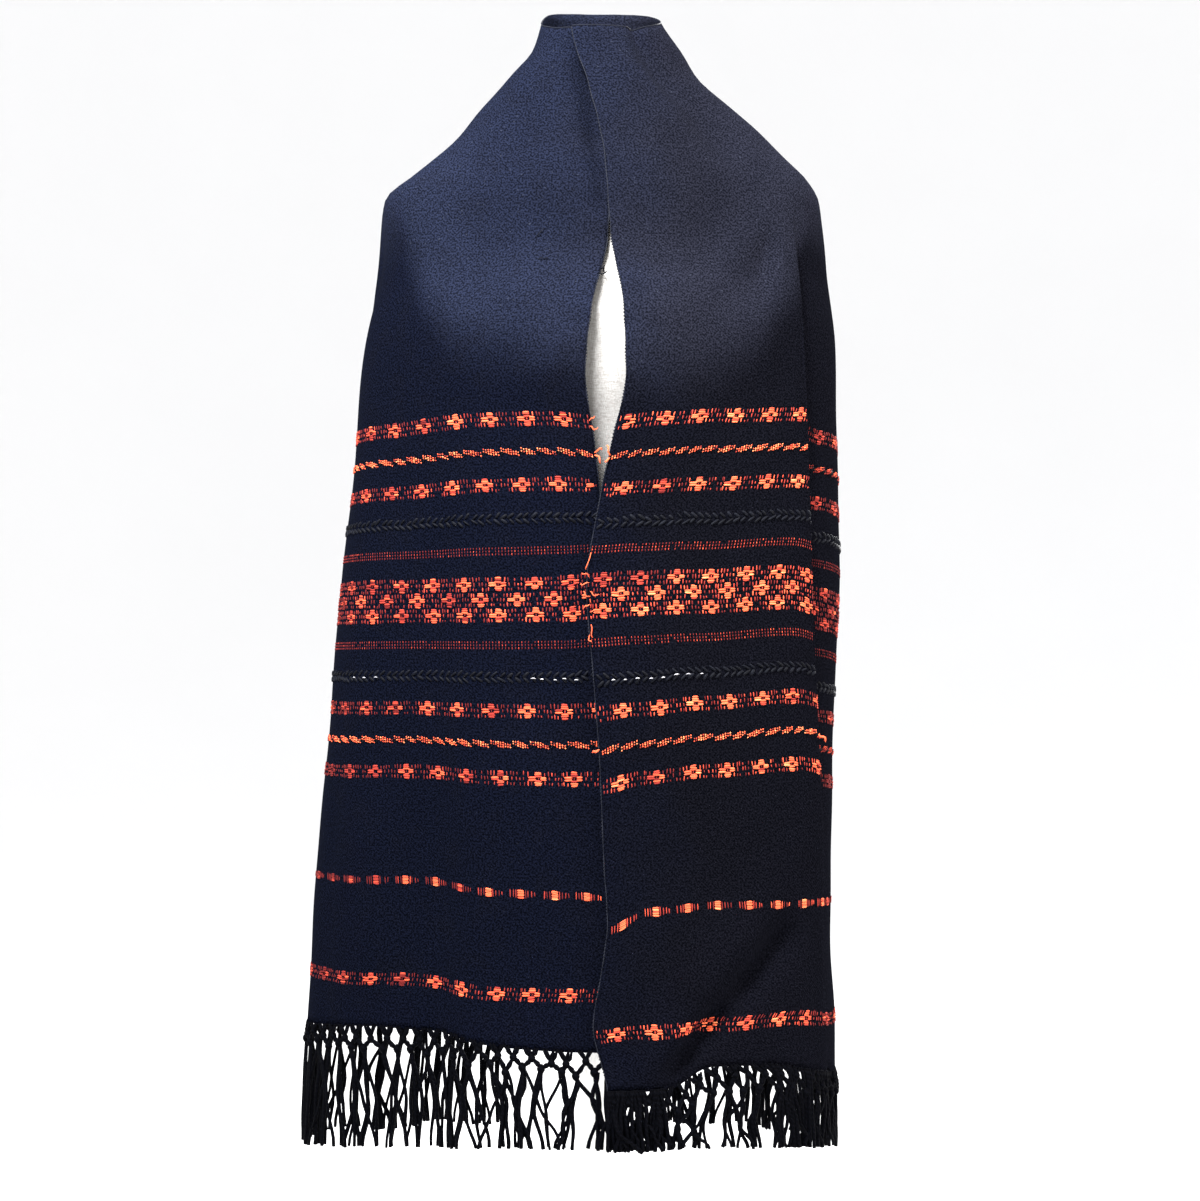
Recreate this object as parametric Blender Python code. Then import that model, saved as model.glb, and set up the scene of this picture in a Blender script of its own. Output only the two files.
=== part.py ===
"""Rebozo shawl worn round the neck of a linen dress form on a stand.

One length of handwoven cloth lies round the back of the neck. Its two ends fall side by side
down the front, the right one (as seen from the front) lapped over the left one, and its outer
selvage hangs at the back. Both ends finish in a knotted fringe.

Metres, +Z up, the floor at z = 0 and the stand's pole on the Z axis. The front faces -Y, and
left and right are those of somebody who looks at the front.
"""
import math
from collections import namedtuple

import bpy
import numpy as np

# Cloth and its cut
CLOTH_WALL = 0.0016
SEAM_GAP = 0.0003
LAP = 0.0046            # how far the right fall stands in front of the left one where they lap
LAP_FULL, LAP_END = 0.060, 0.120

# Neck rim and lower edges
RIM_FRONT, RIM_BACK = 1.449, 1.496
JOIN_Z = 0.660          # the falls reach round behind only below this height
ARCH_Z = 0.860          # lowest edge of the back at its middle
SEAM_ANGLE = math.radians(103)   # where the falls end and the back begins, 0 at the front
FRINGE_FRONT_Z, FRINGE_SIDE_Z = 0.378, 0.350

# Pleat at the right side: forward run and turning strength of its S, and space between layers
PLEAT_RUN, PLEAT_LAYER, PLEAT_RETURN = 0.030, 0.0050, 0.070
STEP_INNER, STEP_OUTER = 0.112, 0.165   # the left fall steps back between these distances

# Dress form and stand
POLE_RADIUS, BASE_RADIUS, BASE_HEIGHT = 0.0125, 0.180, 0.014

# The cape's outline at each height: half widths of the left and right side, front and back depth
Section = namedtuple("Section", "z left right front back")
SECTIONS = (
    Section(0.340, 0.300, 0.239, 0.134, 0.100),
    Section(0.470, 0.295, 0.238, 0.133, 0.102),
    Section(0.566, 0.286, 0.236, 0.131, 0.104),
    Section(0.634, 0.279, 0.233, 0.130, 0.106),
    Section(0.778, 0.266, 0.236, 0.129, 0.108),
    Section(0.919, 0.254, 0.240, 0.129, 0.110),
    Section(1.054, 0.239, 0.239, 0.130, 0.112),
    Section(1.148, 0.227, 0.237, 0.128, 0.112),
    Section(1.224, 0.220, 0.231, 0.114, 0.108),
    Section(1.270, 0.217, 0.225, 0.102, 0.102),
    Section(1.291, 0.213, 0.222, 0.096, 0.098),
    Section(1.310, 0.193, 0.213, 0.090, 0.094),
    Section(1.326, 0.173, 0.197, 0.085, 0.090),
    Section(1.350, 0.146, 0.171, 0.079, 0.084),
    Section(1.378, 0.121, 0.141, 0.072, 0.076),
    Section(1.409, 0.093, 0.106, 0.065, 0.067),
    Section(1.436, 0.066, 0.086, 0.060, 0.060),
    Section(1.466, 0.056, 0.065, 0.058, 0.055),
    Section(1.500, 0.048, 0.050, 0.056, 0.050),
)

# Where each fall's inner selvage runs: its x at each height
Selvage = namedtuple("Selvage", "z left right")
SELVAGES = (
    Selvage(0.430, -0.004, 0.010),
    Selvage(0.494, -0.001, -0.003),
    Selvage(0.540, 0.004, 0.004),
    Selvage(0.590, 0.006, 0.010),
    Selvage(0.640, 0.003, 0.007),
    Selvage(0.735, 0.006, 0.003),
    Selvage(0.819, 0.008, -0.003),
    Selvage(0.900, 0.007, -0.009),
    Selvage(0.983, 0.003, 0.003),
    Selvage(1.040, -0.003, 0.015),
    Selvage(1.100, -0.011, 0.027),
    Selvage(1.165, -0.005, 0.025),
    Selvage(1.235, 0.010, 0.014),
    Selvage(1.320, 0.013, 0.007),
    Selvage(1.385, 0.013, -0.007),
    Selvage(1.450, 0.012, -0.023),
)

# The right pleat: x of its front fold edge, and the strength of its S (0 is flat cloth)
Pleat = namedtuple("Pleat", "z fold_x turn")
PLEATS = (
    Pleat(0.340, 0.222, 0.003),
    Pleat(0.480, 0.222, 0.003),
    Pleat(0.620, 0.221, 0.016),
    Pleat(0.720, 0.218, 0.023),
    Pleat(0.880, 0.210, 0.024),
    Pleat(1.080, 0.203, 0.022),
    Pleat(1.180, 0.198, 0.016),
    Pleat(1.250, 0.190, 0.004),
    Pleat(1.300, 0.165, 0.000),
    Pleat(1.380, 0.100, 0.000),
    Pleat(1.500, 0.034, 0.000),
)

# Slow shapes by height: the left fall's step back, and the depth of the flutes behind
Swing = namedtuple("Swing", "z step flute")
SWINGS = (
    Swing(0.340, 0.024, 0.016),
    Swing(0.600, 0.020, 0.015),
    Swing(0.900, 0.010, 0.011),
    Swing(1.120, 0.000, 0.005),
    Swing(1.220, 0.000, 0.000),
    Swing(1.500, 0.000, 0.000),
)

# Height of each end's hem at distances out from the middle
Hem = namedtuple("Hem", "x left right")
HEMS = (
    Hem(-0.030, 0.468, 0.432),
    Hem(0.010, 0.468, 0.432),
    Hem(0.060, 0.470, 0.434),
    Hem(0.100, 0.474, 0.452),
    Hem(0.150, 0.481, 0.450),
    Hem(0.200, 0.481, 0.436),
    Hem(0.240, 0.478, 0.426),
    Hem(0.300, 0.470, 0.426),
)

# Each side's outer selvage behind (0 is the front, 180 the middle of the back), and its flutes
Rear = namedtuple("Rear", "outer_angle flutes skew")
REARS = {"left": Rear(162.0, 2.0, 1.15), "right": Rear(161.0, 2.0, 0.90)}

# The dress form's rings
Ring = namedtuple("Ring", "z half_width front back")
TORSO = (
    Ring(0.740, 0.146, 0.080, 0.082),
    Ring(0.752, 0.158, 0.092, 0.094),
    Ring(0.800, 0.170, 0.101, 0.101),
    Ring(0.860, 0.172, 0.104, 0.103),
    Ring(0.930, 0.152, 0.098, 0.090),
    Ring(0.985, 0.133, 0.093, 0.080),
    Ring(1.050, 0.138, 0.100, 0.083),
    Ring(1.110, 0.149, 0.112, 0.088),
    Ring(1.160, 0.156, 0.114, 0.092),
    Ring(1.200, 0.164, 0.108, 0.094),
    Ring(1.235, 0.178, 0.096, 0.091),
    Ring(1.262, 0.190, 0.085, 0.086),
    Ring(1.285, 0.188, 0.076, 0.080),
    Ring(1.302, 0.168, 0.070, 0.074),
    Ring(1.320, 0.132, 0.062, 0.067),
    Ring(1.338, 0.094, 0.055, 0.060),
    Ring(1.358, 0.066, 0.051, 0.054),
    Ring(1.385, 0.053, 0.049, 0.050),
    Ring(1.432, 0.049, 0.046, 0.046),
    Ring(1.440, 0.044, 0.041, 0.041),
)
RING_SIDES = 32

# Row heights shared by every piece of cloth above JOIN_Z, denser at the shoulder and the neck
ROWS = (0.660, 0.720, 0.785, 0.850, 0.915, 0.980, 1.040, 1.095, 1.145, 1.190, 1.228, 1.258,
        1.280, 1.296, 1.310, 1.326, 1.348, 1.372, 1.398, 1.424, 1.449)
LOWER_ROWS = 5
FRONT_COLUMNS, FACE_COLUMNS, PLEAT_COLUMNS, SIDE_COLUMNS = 14, 10, 11, 4
REAR_COLUMNS, ARCH_COLUMNS = 12, 4

# Colour, roughness and metallic value
NAVY = (0.011, 0.013, 0.022)
BLACK = (0.006, 0.006, 0.010)
LINEN = (0.70, 0.64, 0.54)
WHITE = (0.80, 0.79, 0.77)


def ease(t):
    """0 to 1 with level ends."""
    t = np.clip(t, 0.0, 1.0)
    return t * t * (3.0 - 2.0 * t)


def read(table, column, at, key="z"):
    """Value of one named column at a height, through a monotone cubic."""
    x = np.array([getattr(row, key) for row in table])
    y = np.array([getattr(row, column) for row in table])
    slope = np.diff(y) / np.diff(x)
    tangent = np.zeros(len(x))
    both = slope[:-1] * slope[1:]
    rising = both > 0
    tangent[1:-1][rising] = 2.0 * both[rising] / (slope[:-1] + slope[1:])[rising]
    at = np.clip(at, x[0], x[-1])
    i = int(np.clip(np.searchsorted(x, at) - 1, 0, len(x) - 2))
    span = x[i + 1] - x[i]
    t = (at - x[i]) / span
    start = (1.0 + 2.0 * t) * (1.0 - t) ** 2 * y[i] + t * (1.0 - t) ** 2 * span * tangent[i]
    end = t * t * (3.0 - 2.0 * t) * y[i + 1] + t * t * (t - 1.0) * span * tangent[i + 1]
    return start + end


class Outline:
    """Half of the cape's outline at one height, measured along its length from the front."""

    FLATNESS = 0.86      # below 1 the front and back are flatter than an ellipse

    def __init__(self, side, z):
        self.sign = -1.0 if side == "left" else 1.0
        width = read(SECTIONS, side, z)
        front, back = read(SECTIONS, "front", z), read(SECTIONS, "back", z)
        self.angle = np.linspace(-0.7, math.pi, 300)
        level = np.cos(self.angle)
        depth = np.where(level > 0, -front, back) * np.abs(level) ** self.FLATNESS
        self.x, self.y = width * np.sin(self.angle), depth
        step = np.hypot(np.diff(self.x), np.diff(self.y))
        run = np.concatenate(([0.0], np.cumsum(step)))
        self.run = run - np.interp(0.0, self.angle, run)
        self.seam = float(np.interp(SEAM_ANGLE, self.angle, self.run))

    def run_at(self, x):
        """Distance along the outline to the place in front with this x."""
        front = self.angle < math.pi / 2
        return float(np.interp(x, self.x[front], self.run[front]))

    def run_at_angle(self, angle):
        return float(np.interp(angle, self.angle, self.run))

    def point(self, run, out):
        """Point at a distance along the outline, moved out by a small amount."""
        x, y = np.interp(run, self.run, self.x), np.interp(run, self.run, self.y)
        small = 0.002
        dx = np.interp(run + small, self.run, self.x) - np.interp(run - small, self.run, self.x)
        dy = np.interp(run + small, self.run, self.y) - np.interp(run - small, self.run, self.y)
        length = max(math.hypot(dx, dy), 1e-9)
        return self.sign * (x + out * dy / length), y - out * dx / length


def rim_height(fraction):
    """Height of the neck edge, a fraction of the way from the front to the back."""
    return RIM_FRONT + (RIM_BACK - RIM_FRONT) * ease(fraction)


def left_front(outline, z):
    """Columns of the left fall, from its inner selvage to the seam: (run, out)."""
    start = outline.run_at(-read(SELVAGES, "left", z))
    end = outline.seam - SEAM_GAP / 2
    depth = read(SWINGS, "step", z)
    columns = []
    for run in np.linspace(start, end, FRONT_COLUMNS + 1):
        away = ease((run - STEP_INNER) / (STEP_OUTER - STEP_INNER))
        level = ease((end - run) / 0.08)
        columns.append((run, -depth * away * level))
    return columns


def right_front(outline, z):
    """Columns of the right fall: lapped face, the S of the pleat, and the side."""
    start = outline.run_at(read(SELVAGES, "right", z))
    end = outline.seam - SEAM_GAP / 2
    turn = read(PLEATS, "turn", z)
    fold = outline.run_at(read(PLEATS, "fold_x", z))
    pleat = min(fold - 0.27 * PLEAT_RUN - turn, end - PLEAT_RETURN - PLEAT_RUN)
    gap = 2.0 * PLEAT_LAYER * ease(turn / 0.012)
    columns = []
    for run in np.linspace(start, pleat, FACE_COLUMNS, endpoint=False):
        lap = 1.0 - ease((run - LAP_FULL) / (LAP_END - LAP_FULL))
        columns.append((run, LAP * lap * ease((pleat - run) / 0.03)))
    for q in np.linspace(0.0, 1.0, PLEAT_COLUMNS, endpoint=False):
        run = pleat + PLEAT_RUN * q + turn * math.sin(2.0 * math.pi * q)
        columns.append((run, -gap * ease(q)))
    for q in np.linspace(0.0, 1.0, SIDE_COLUMNS + 1):
        run = pleat + PLEAT_RUN + (end - pleat - PLEAT_RUN) * q
        columns.append((run, -gap * (1.0 - ease(q))))
    return columns


def rear(side, outline, z):
    """Columns from the seam to the outer selvage behind, with their flutes."""
    shape = REARS[side]
    start = outline.seam + SEAM_GAP / 2
    end = outline.run_at_angle(math.radians(shape.outer_angle))
    depth = read(SWINGS, "flute", z)
    columns = []
    for q in np.linspace(0.0, 1.0, REAR_COLUMNS + 1):
        wave = math.sin(2.0 * math.pi * shape.flutes * q ** shape.skew)
        level = ease(q / 0.2) * ease((1.0 - q) / 0.15)
        columns.append((start + (end - start) * q, depth * wave * level))
    return columns


def arch_angle(side, k):
    """Angle of a column between the outer selvage and the middle of the back."""
    away = math.pi - math.radians(REARS[side].outer_angle)
    return math.pi - away * (1.0 - math.sin(k / ARCH_COLUMNS * math.pi / 2))


def half_section(side, z):
    """Columns of one side at one height, from the inner selvage to the middle of the back.

    Each is a pair: the point outside and the point inside, a wall's thickness in.
    """
    outline = Outline(side, z)
    front = left_front(outline, z) if side == "left" else right_front(outline, z)
    behind = rear(side, outline, z)
    arch = [(outline.run_at_angle(arch_angle(side, k)), 0.0) for k in range(1, ARCH_COLUMNS + 1)]
    path = [outline.point(run, out) for run, out in front + behind[1:] + arch]
    pairs = []
    for k, (x, y) in enumerate(path):
        before, after = path[max(k - 1, 0)], path[min(k + 1, len(path) - 1)]
        dx, dy = outline.sign * (after[0] - before[0]), outline.sign * (after[1] - before[1])
        length = math.hypot(dx, dy)
        dx, dy = CLOTH_WALL * dx / length, CLOTH_WALL * dy / length
        pairs.append(((x, y, z), (x - dy, y + dx, z)))
    seam = outline.point(*behind[0])
    (x, y, _), (inner_x, inner_y, _) = pairs[len(front) - 1]
    at_seam = ((*seam, z), (seam[0] + inner_x - x, seam[1] + inner_y - y, z))
    return pairs[:len(front)], [at_seam] + pairs[len(front):]


def share(row):
    """How far a shared row lies between JOIN_Z and the rim."""
    return (ROWS[row] - ROWS[0]) / (ROWS[-1] - ROWS[0])


def fall_rows(side):
    """Rows of one fall from the hem to the rim. Only the lower rows reach round behind."""
    front, behind = half_section(side, JOIN_Z)
    at_join = front + behind[1:REAR_COLUMNS + 1]
    rows = []
    for step in range(LOWER_ROWS + 1):
        row = []
        for k, ((x, _, _), _) in enumerate(at_join):
            low = read(HEMS, side, abs(x), key="x")
            high = JOIN_Z if k < len(front) else JOIN_Z - SEAM_GAP
            front_now, behind_now = half_section(side, low + (high - low) * step / LOWER_ROWS)
            row.append((front_now + behind_now[1:])[k])
        rows.append(row)
    for step in range(1, len(ROWS)):
        row = []
        for k in range(len(front)):
            high = rim_height(k / (len(front) - 1) * SEAM_ANGLE / math.pi)
            row.append(half_section(side, JOIN_Z + (high - JOIN_Z) * share(step))[0][k])
        rows.append(row)
    return rows


def back_rows():
    """Rows of the back, from its arched lower edge to the rim."""
    last = REAR_COLUMNS + ARCH_COLUMNS
    rows = []
    for step in range(len(ROWS)):
        row = []
        for side in ("left", "right"):
            half = []
            for k in range(last + 1):
                reach = math.sin(max(k - REAR_COLUMNS, 0) / ARCH_COLUMNS * math.pi / 2)
                low = JOIN_Z + (ARCH_Z - JOIN_Z) * math.sqrt(1.0 - (1.0 - reach) ** 2)
                seam = SEAM_ANGLE / math.pi
                high = rim_height(seam + (1.0 - seam) * k / last)
                half.append(half_section(side, low + (high - low) * share(step))[1][k])
            row += half if side == "left" else half[-2::-1]
        rows.append(row)
    return rows


def fringe_rows(side, hem_row):
    """Two rows: the level that the strands reach, and just below the hem."""
    top, bottom = [], []
    for k, (outside, inside) in enumerate(hem_row):
        away = float(np.clip((outside[1] + 0.13) / 0.13, 0.0, 1.0))
        z = FRINGE_FRONT_Z + (FRINGE_SIDE_Z - FRINGE_FRONT_Z) * away
        front, behind = half_section(side, z)
        bottom.append((front + behind[1:])[k])
        top.append(tuple((x, y, z - SEAM_GAP) for x, y, z in (outside, inside)))
    return [bottom, top]


def material(name, colour, roughness):
    made = bpy.data.materials.new(name)
    made.use_nodes = True
    shader = made.node_tree.nodes["Principled BSDF"]
    shader.inputs["Base Color"].default_value = (*colour, 1.0)
    shader.inputs["Roughness"].default_value = roughness
    return made


def add(name, vertices, faces, look):
    mesh = bpy.data.meshes.new(name)
    mesh.from_pydata(vertices, [], faces)
    mesh.materials.append(look)
    mesh.shade_smooth()
    mesh.set_sharp_from_angle(angle=math.radians(40))
    made = bpy.data.objects.new(name, mesh)
    bpy.context.scene.collection.objects.link(made)
    return made


def cloth(name, rows, turned, look):
    """A closed wall through rows of paired points."""
    pairs, faces, first = [], [], []
    for row in rows:
        first.append(len(pairs))
        pairs += row
    for low, high, a, b in zip(rows, rows[1:], first, first[1:]):
        for k in range(min(len(low), len(high)) - 1):
            face = (a + k, a + k + 1, b + k + 1, b + k)
            faces.append(face[::-1] if turned else face)
    count = len(pairs)
    vertices = [pair[0] for pair in pairs] + [pair[1] for pair in pairs]
    sides = [(i, j) for face in faces for i, j in zip(face, face[1:] + face[:1])]
    border = set(sides) - {(j, i) for i, j in sides}
    closed = faces + [tuple(count + i for i in face[::-1]) for face in faces]
    closed += [(j, i, count + i, count + j) for i, j in sides if (i, j) in border]
    return add(name, vertices, closed, look)


def turned_form(name, rings, sides, look):
    """A closed body through level rings, each with its own half width, front and back depth."""
    vertices, faces = [], []
    for ring in rings:
        for k in range(sides):
            angle = 2.0 * math.pi * k / sides
            depth = ring.front if math.sin(angle) < 0 else ring.back
            vertices.append((ring.half_width * math.cos(angle), depth * math.sin(angle), ring.z))
    for level in range(len(rings) - 1):
        for k in range(sides):
            after = (k + 1) % sides
            a, b = level * sides, (level + 1) * sides
            faces.append((a + k, a + after, b + after, b + k))
    faces.append(tuple(range(sides))[::-1])
    top = (len(rings) - 1) * sides
    faces.append(tuple(range(top, top + sides)))
    return add(name, vertices, faces, look)


def round_ring(z, radius):
    return Ring(z, radius, radius, radius)


def build_shawl():
    woven = material("woven_cotton", NAVY, 0.92)
    knotted = material("knotted_cotton", BLACK, 0.95)
    for side in ("left", "right"):
        rows = fall_rows(side)
        turned = side == "left"
        cloth("shawl_fall_" + side, rows, turned, woven)
        cloth("fringe_" + side, fringe_rows(side, rows[0]), turned, knotted)
    cloth("shawl_back", back_rows(), True, woven)


def build_form():
    turned_form("form_torso", TORSO, RING_SIDES, material("linen_cover", LINEN, 0.9))
    steel = material("white_steel", WHITE, 0.45)
    edge = 0.002
    foot = (round_ring(0.0, BASE_RADIUS - edge), round_ring(edge, BASE_RADIUS),
            round_ring(BASE_HEIGHT - edge, BASE_RADIUS), round_ring(BASE_HEIGHT, BASE_RADIUS - edge))
    turned_form("stand_base", foot, 2 * RING_SIDES, steel)
    pole = (round_ring(BASE_HEIGHT + SEAM_GAP, POLE_RADIUS),
            round_ring(TORSO[0].z - SEAM_GAP, POLE_RADIUS))
    turned_form("stand_pole", pole, 24, steel)


def main():
    for old in list(bpy.data.objects):
        bpy.data.objects.remove(old, do_unlink=True)
    build_shawl()
    build_form()


main()
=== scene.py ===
"""Looks of a rebozo shawl worn round the neck of a linen dress form on a stand.

Metres, +Z up; the front faces -Y, and left and right are those of somebody who looks at it.
The cloth is one continuous sheet: its two ends fall down the front, it passes round the back
of the neck, and its outer selvage hangs behind. Places on it are given as u, the distance from
the inner selvage along the weft, and z, the height of that weft thread where it hangs straight.
"""
import math
from collections import namedtuple

import bpy
import numpy as np
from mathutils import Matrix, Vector


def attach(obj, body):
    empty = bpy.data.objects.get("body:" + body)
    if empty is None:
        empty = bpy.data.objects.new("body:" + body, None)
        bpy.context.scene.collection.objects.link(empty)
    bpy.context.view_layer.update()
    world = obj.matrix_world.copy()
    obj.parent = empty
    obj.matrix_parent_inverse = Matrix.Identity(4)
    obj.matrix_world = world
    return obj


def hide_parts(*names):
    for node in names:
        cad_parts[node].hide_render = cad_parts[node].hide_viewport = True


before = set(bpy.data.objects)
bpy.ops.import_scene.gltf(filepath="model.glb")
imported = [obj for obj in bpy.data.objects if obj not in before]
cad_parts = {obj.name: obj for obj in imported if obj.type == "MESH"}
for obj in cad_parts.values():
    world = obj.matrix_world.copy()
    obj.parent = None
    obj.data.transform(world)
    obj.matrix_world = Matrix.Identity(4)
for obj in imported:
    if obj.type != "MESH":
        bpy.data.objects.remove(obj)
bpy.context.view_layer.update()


def rows(kind, values):
    """The rows of a table, with their columns named."""
    return tuple(kind(*row) for row in values)


# ---------------------------------------------------------------- the drape, as in the frame

CLOTH_WALL = 0.0006
LAP, LAP_FULL, LAP_END = 0.0064, 0.050, 0.115      # how far the right end stands over the left
# The neck edge: its height by the angle from the front, in degrees
Rim = namedtuple("Rim", "angle height")
RIM_FRONT = 1.4475
RIMS = (Rim(0, RIM_FRONT), Rim(35, 1.4500), Rim(60, 1.4580), Rim(78, 1.4670), Rim(90, 1.4745),
        Rim(110, 1.4850), Rim(135, 1.4925), Rim(160, 1.4960), Rim(180, 1.4965))
JOIN_Z, ARCH_Z = 0.660, 0.860
SEAM_ANGLE = math.radians(103)
PLEAT_RUN, PLEAT_LAYER, PLEAT_RETURN, PLEAT_END_Z = 0.030, 0.0050, 0.070, 1.280
STEP_INNER, STEP_OUTER = 0.112, 0.165
# Across the chest: height, spread and depth of the hollow over the bust, and of its fullness
CHEST = ((1.228, 0.036, -0.0075), (1.130, 0.035, 0.0030))

Section = namedtuple("Section", "z left right front back")
SECTIONS = rows(Section, (
    (0.34, 0.3, 0.239, 0.134, 0.1),
    (0.47, 0.295, 0.238, 0.133, 0.102),
    (0.566, 0.289, 0.236, 0.131, 0.104),
    (0.634, 0.284, 0.236, 0.13, 0.106),
    (0.778, 0.271, 0.239, 0.129, 0.108),
    (0.919, 0.257, 0.243, 0.129, 0.11),
    (1.054, 0.24, 0.242, 0.13, 0.112),
    (1.148, 0.228, 0.24, 0.128, 0.112),
    (1.224, 0.22, 0.231, 0.114, 0.108),
    (1.27, 0.217, 0.225, 0.102, 0.102),
    (1.291, 0.213, 0.222, 0.096, 0.098),
    (1.31, 0.188, 0.211, 0.09, 0.094),
    (1.326, 0.168, 0.195, 0.085, 0.09),
    (1.35, 0.141, 0.169, 0.079, 0.084),
    (1.378, 0.119, 0.138, 0.072, 0.076),
    (1.409, 0.091, 0.103, 0.065, 0.067),
    (1.436, 0.066, 0.086, 0.06, 0.06),
    (1.466, 0.056, 0.065, 0.058, 0.055),
    (1.5, 0.048, 0.05, 0.056, 0.05),
))

Selvage = namedtuple("Selvage", "z left right")
SELVAGES = rows(Selvage, (
    (0.43, 0.014, 0.01),
    (0.494, 0.01, -0.003),
    (0.54, 0.014, 0.004),
    (0.59, 0.018, 0.01),
    (0.64, 0.016, 0.007),
    (0.735, 0.013, 0.003),
    (0.819, 0.01, -0.003),
    (0.9, 0.007, -0.009),
    (0.983, 0.003, 0.003),
    (1.04, -0.003, 0.015),
    (1.1, -0.011, 0.027),
    (1.165, -0.005, 0.025),
    (1.235, 0.01, 0.014),
    (1.32, 0.013, 0.007),
    (1.385, 0.013, -0.007),
    (1.45, 0.012, -0.023),
))

Pleat = namedtuple("Pleat", "z fold_x turn")
PLEATS = rows(Pleat, (
    (0.34, 0.222, 0.003),
    (0.48, 0.222, 0.003),
    (0.62, 0.221, 0.016),
    (0.72, 0.218, 0.023),
    (0.88, 0.21, 0.024),
    (1.08, 0.203, 0.022),
    (1.18, 0.198, 0.016),
    (1.25, 0.19, 0.004),
    (1.3, 0.165, 0.0),
    (1.38, 0.1, 0.0),
    (1.5, 0.034, 0.0),
))

Swing = namedtuple("Swing", "z step flute")
SWINGS = rows(Swing, (
    (0.34, 0.024, 0.016),
    (0.6, 0.02, 0.015),
    (0.9, 0.01, 0.011),
    (1.12, 0.0, 0.005),
    (1.22, 0.0, 0.0),
    (1.5, 0.0, 0.0),
))

Hem = namedtuple("Hem", "x left right")
HEMS = rows(Hem, (
    (-0.03, 0.468, 0.432),
    (0.01, 0.468, 0.432),
    (0.06, 0.47, 0.434),
    (0.1, 0.474, 0.452),
    (0.15, 0.481, 0.45),
    (0.2, 0.481, 0.436),
    (0.24, 0.478, 0.426),
    (0.3, 0.47, 0.426),
))

Rear = namedtuple("Rear", "outer_angle flutes skew")
REARS = {"left": Rear(162.0, 2.0, 1.15), "right": Rear(161.0, 2.0, 0.9)}

# Creases laid on the drape: a soft trough (depth below 0) or ridge from one place to another.
# By side and face: x and z of both ends, the half width and the depth.
Crease = namedtuple("Crease", "x0 z0 x1 z1 width depth")
CREASES = {
    ("right", "front"): rows(Crease, (
        (0.029, 1.475, 0.044, 1.425, 0.0042, -0.008),
        (0.036, 1.44, 0.082, 1.37, 0.008, -0.007),
        (0.074, 1.39, 0.136, 1.31, 0.012, -0.007),
        (0.014, 1.455, 0.058, 1.36, 0.011, 0.004),
        (0.06, 1.38, 0.12, 1.29, 0.013, 0.003),
        (0.209, 1.3, 0.111, 1.195, 0.015, 0.005),
        (0.111, 1.195, 0.04, 1.15, 0.019, 0.004),
        (0.196, 1.255, 0.12, 1.14, 0.02, -0.004),
        (0.195, 0.585, 0.118, 0.505, 0.01, -0.015),
        (0.128, 0.515, 0.06, 0.435, 0.009, -0.0165),
        (0.15, 0.59, 0.085, 0.5, 0.02, 0.007),
        (0.085, 0.5, 0.045, 0.435, 0.015, 0.006),
        (0.095, 0.9, 0.11, 0.64, 0.026, 0.003),
        (0.045, 0.76, 0.05, 0.56, 0.02, -0.003),
    )),
    ("left", "front"): rows(Crease, (
        (-0.052, 1.436, -0.12, 1.3, 0.012, 0.003),
        (-0.01, 1.445, 0.007, 1.3, 0.0115, -0.0125),
        (0.006, 1.32, 0.013, 1.255, 0.011, -0.007),
        (-0.052, 1.42, -0.04, 1.24, 0.015, 0.003),
        (-0.05, 1.33, -0.075, 1.13, 0.022, 0.0045),
        (-0.04, 1.26, -0.03, 1.12, 0.016, -0.003),
        (-0.205, 1.292, -0.12, 1.19, 0.02, 0.0035),
        (-0.085, 1.22, -0.05, 1.06, 0.026, 0.003),
        (-0.21, 1.18, -0.19, 0.9, 0.018, -0.003),
        (-0.06, 0.8, -0.075, 0.52, 0.022, 0.004),
        (-0.215, 0.7, -0.225, 0.5, 0.02, 0.004),
    )),
    ("left", "back"): rows(Crease, (
        (-0.19, 1.3, -0.08, 1.18, 0.016, 0.005),
        (-0.17, 1.27, -0.05, 1.08, 0.018, -0.005),
        (-0.19, 1.24, -0.11, 0.96, 0.017, 0.004),
        (-0.04, 1.47, -0.09, 1.34, 0.009, 0.003),
    )),
    ("right", "back"): rows(Crease, (
        (0.2, 1.3, 0.07, 1.16, 0.017, 0.005),
        (0.18, 1.27, 0.06, 1.04, 0.018, -0.005),
        (0.195, 1.22, 0.12, 0.93, 0.017, 0.004),
        (0.04, 1.47, 0.095, 1.33, 0.009, 0.0032),
    )),
}

# How far a weft thread hangs above its own level, at distances u along it
Droop = namedtuple("Droop", "z edge inner middle outer side far")
DROOP_U = (0.000, 0.040, 0.100, 0.200, 0.290, 0.400)
DROOPS = {
    "left": rows(Droop, (
        (0.44, -0.001, -0.001, 0.002, 0.009, 0.004, 0.004),
        (0.52, 0.0, 0.0, 0.001, 0.008, 0.004, 0.004),
        (0.615, -0.004, -0.001, 0.001, 0.009, 0.006, 0.004),
        (0.725, -0.001, -0.001, 0.0, 0.004, 0.002, 0.002),
        (0.89, 0.004, 0.001, 0.0, 0.0, 0.0, 0.0),
        (1.057, -0.001, 0.002, 0.002, -0.003, -0.004, -0.004),
        (1.2, 0.0, 0.0, 0.0, 0.0, 0.0, 0.0),
    )),
    "right": rows(Droop, (
        (0.43, -0.003, -0.001, 0.003, 0.003, -0.006, -0.006),
        (0.488, -0.005, -0.001, 0.001, 0.004, -0.006, -0.01),
        (0.601, -0.019, -0.002, 0.002, -0.001, -0.006, -0.012),
        (0.76, -0.012, -0.006, 0.0, 0.006, -0.013, -0.022),
        (0.897, -0.004, -0.002, 0.0, 0.006, -0.012, -0.022),
        (1.063, -0.009, -0.005, 0.0, 0.006, -0.013, -0.022),
        (1.2, 0.0, 0.0, 0.0, 0.0, 0.0, 0.0),
    )),
}

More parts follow.
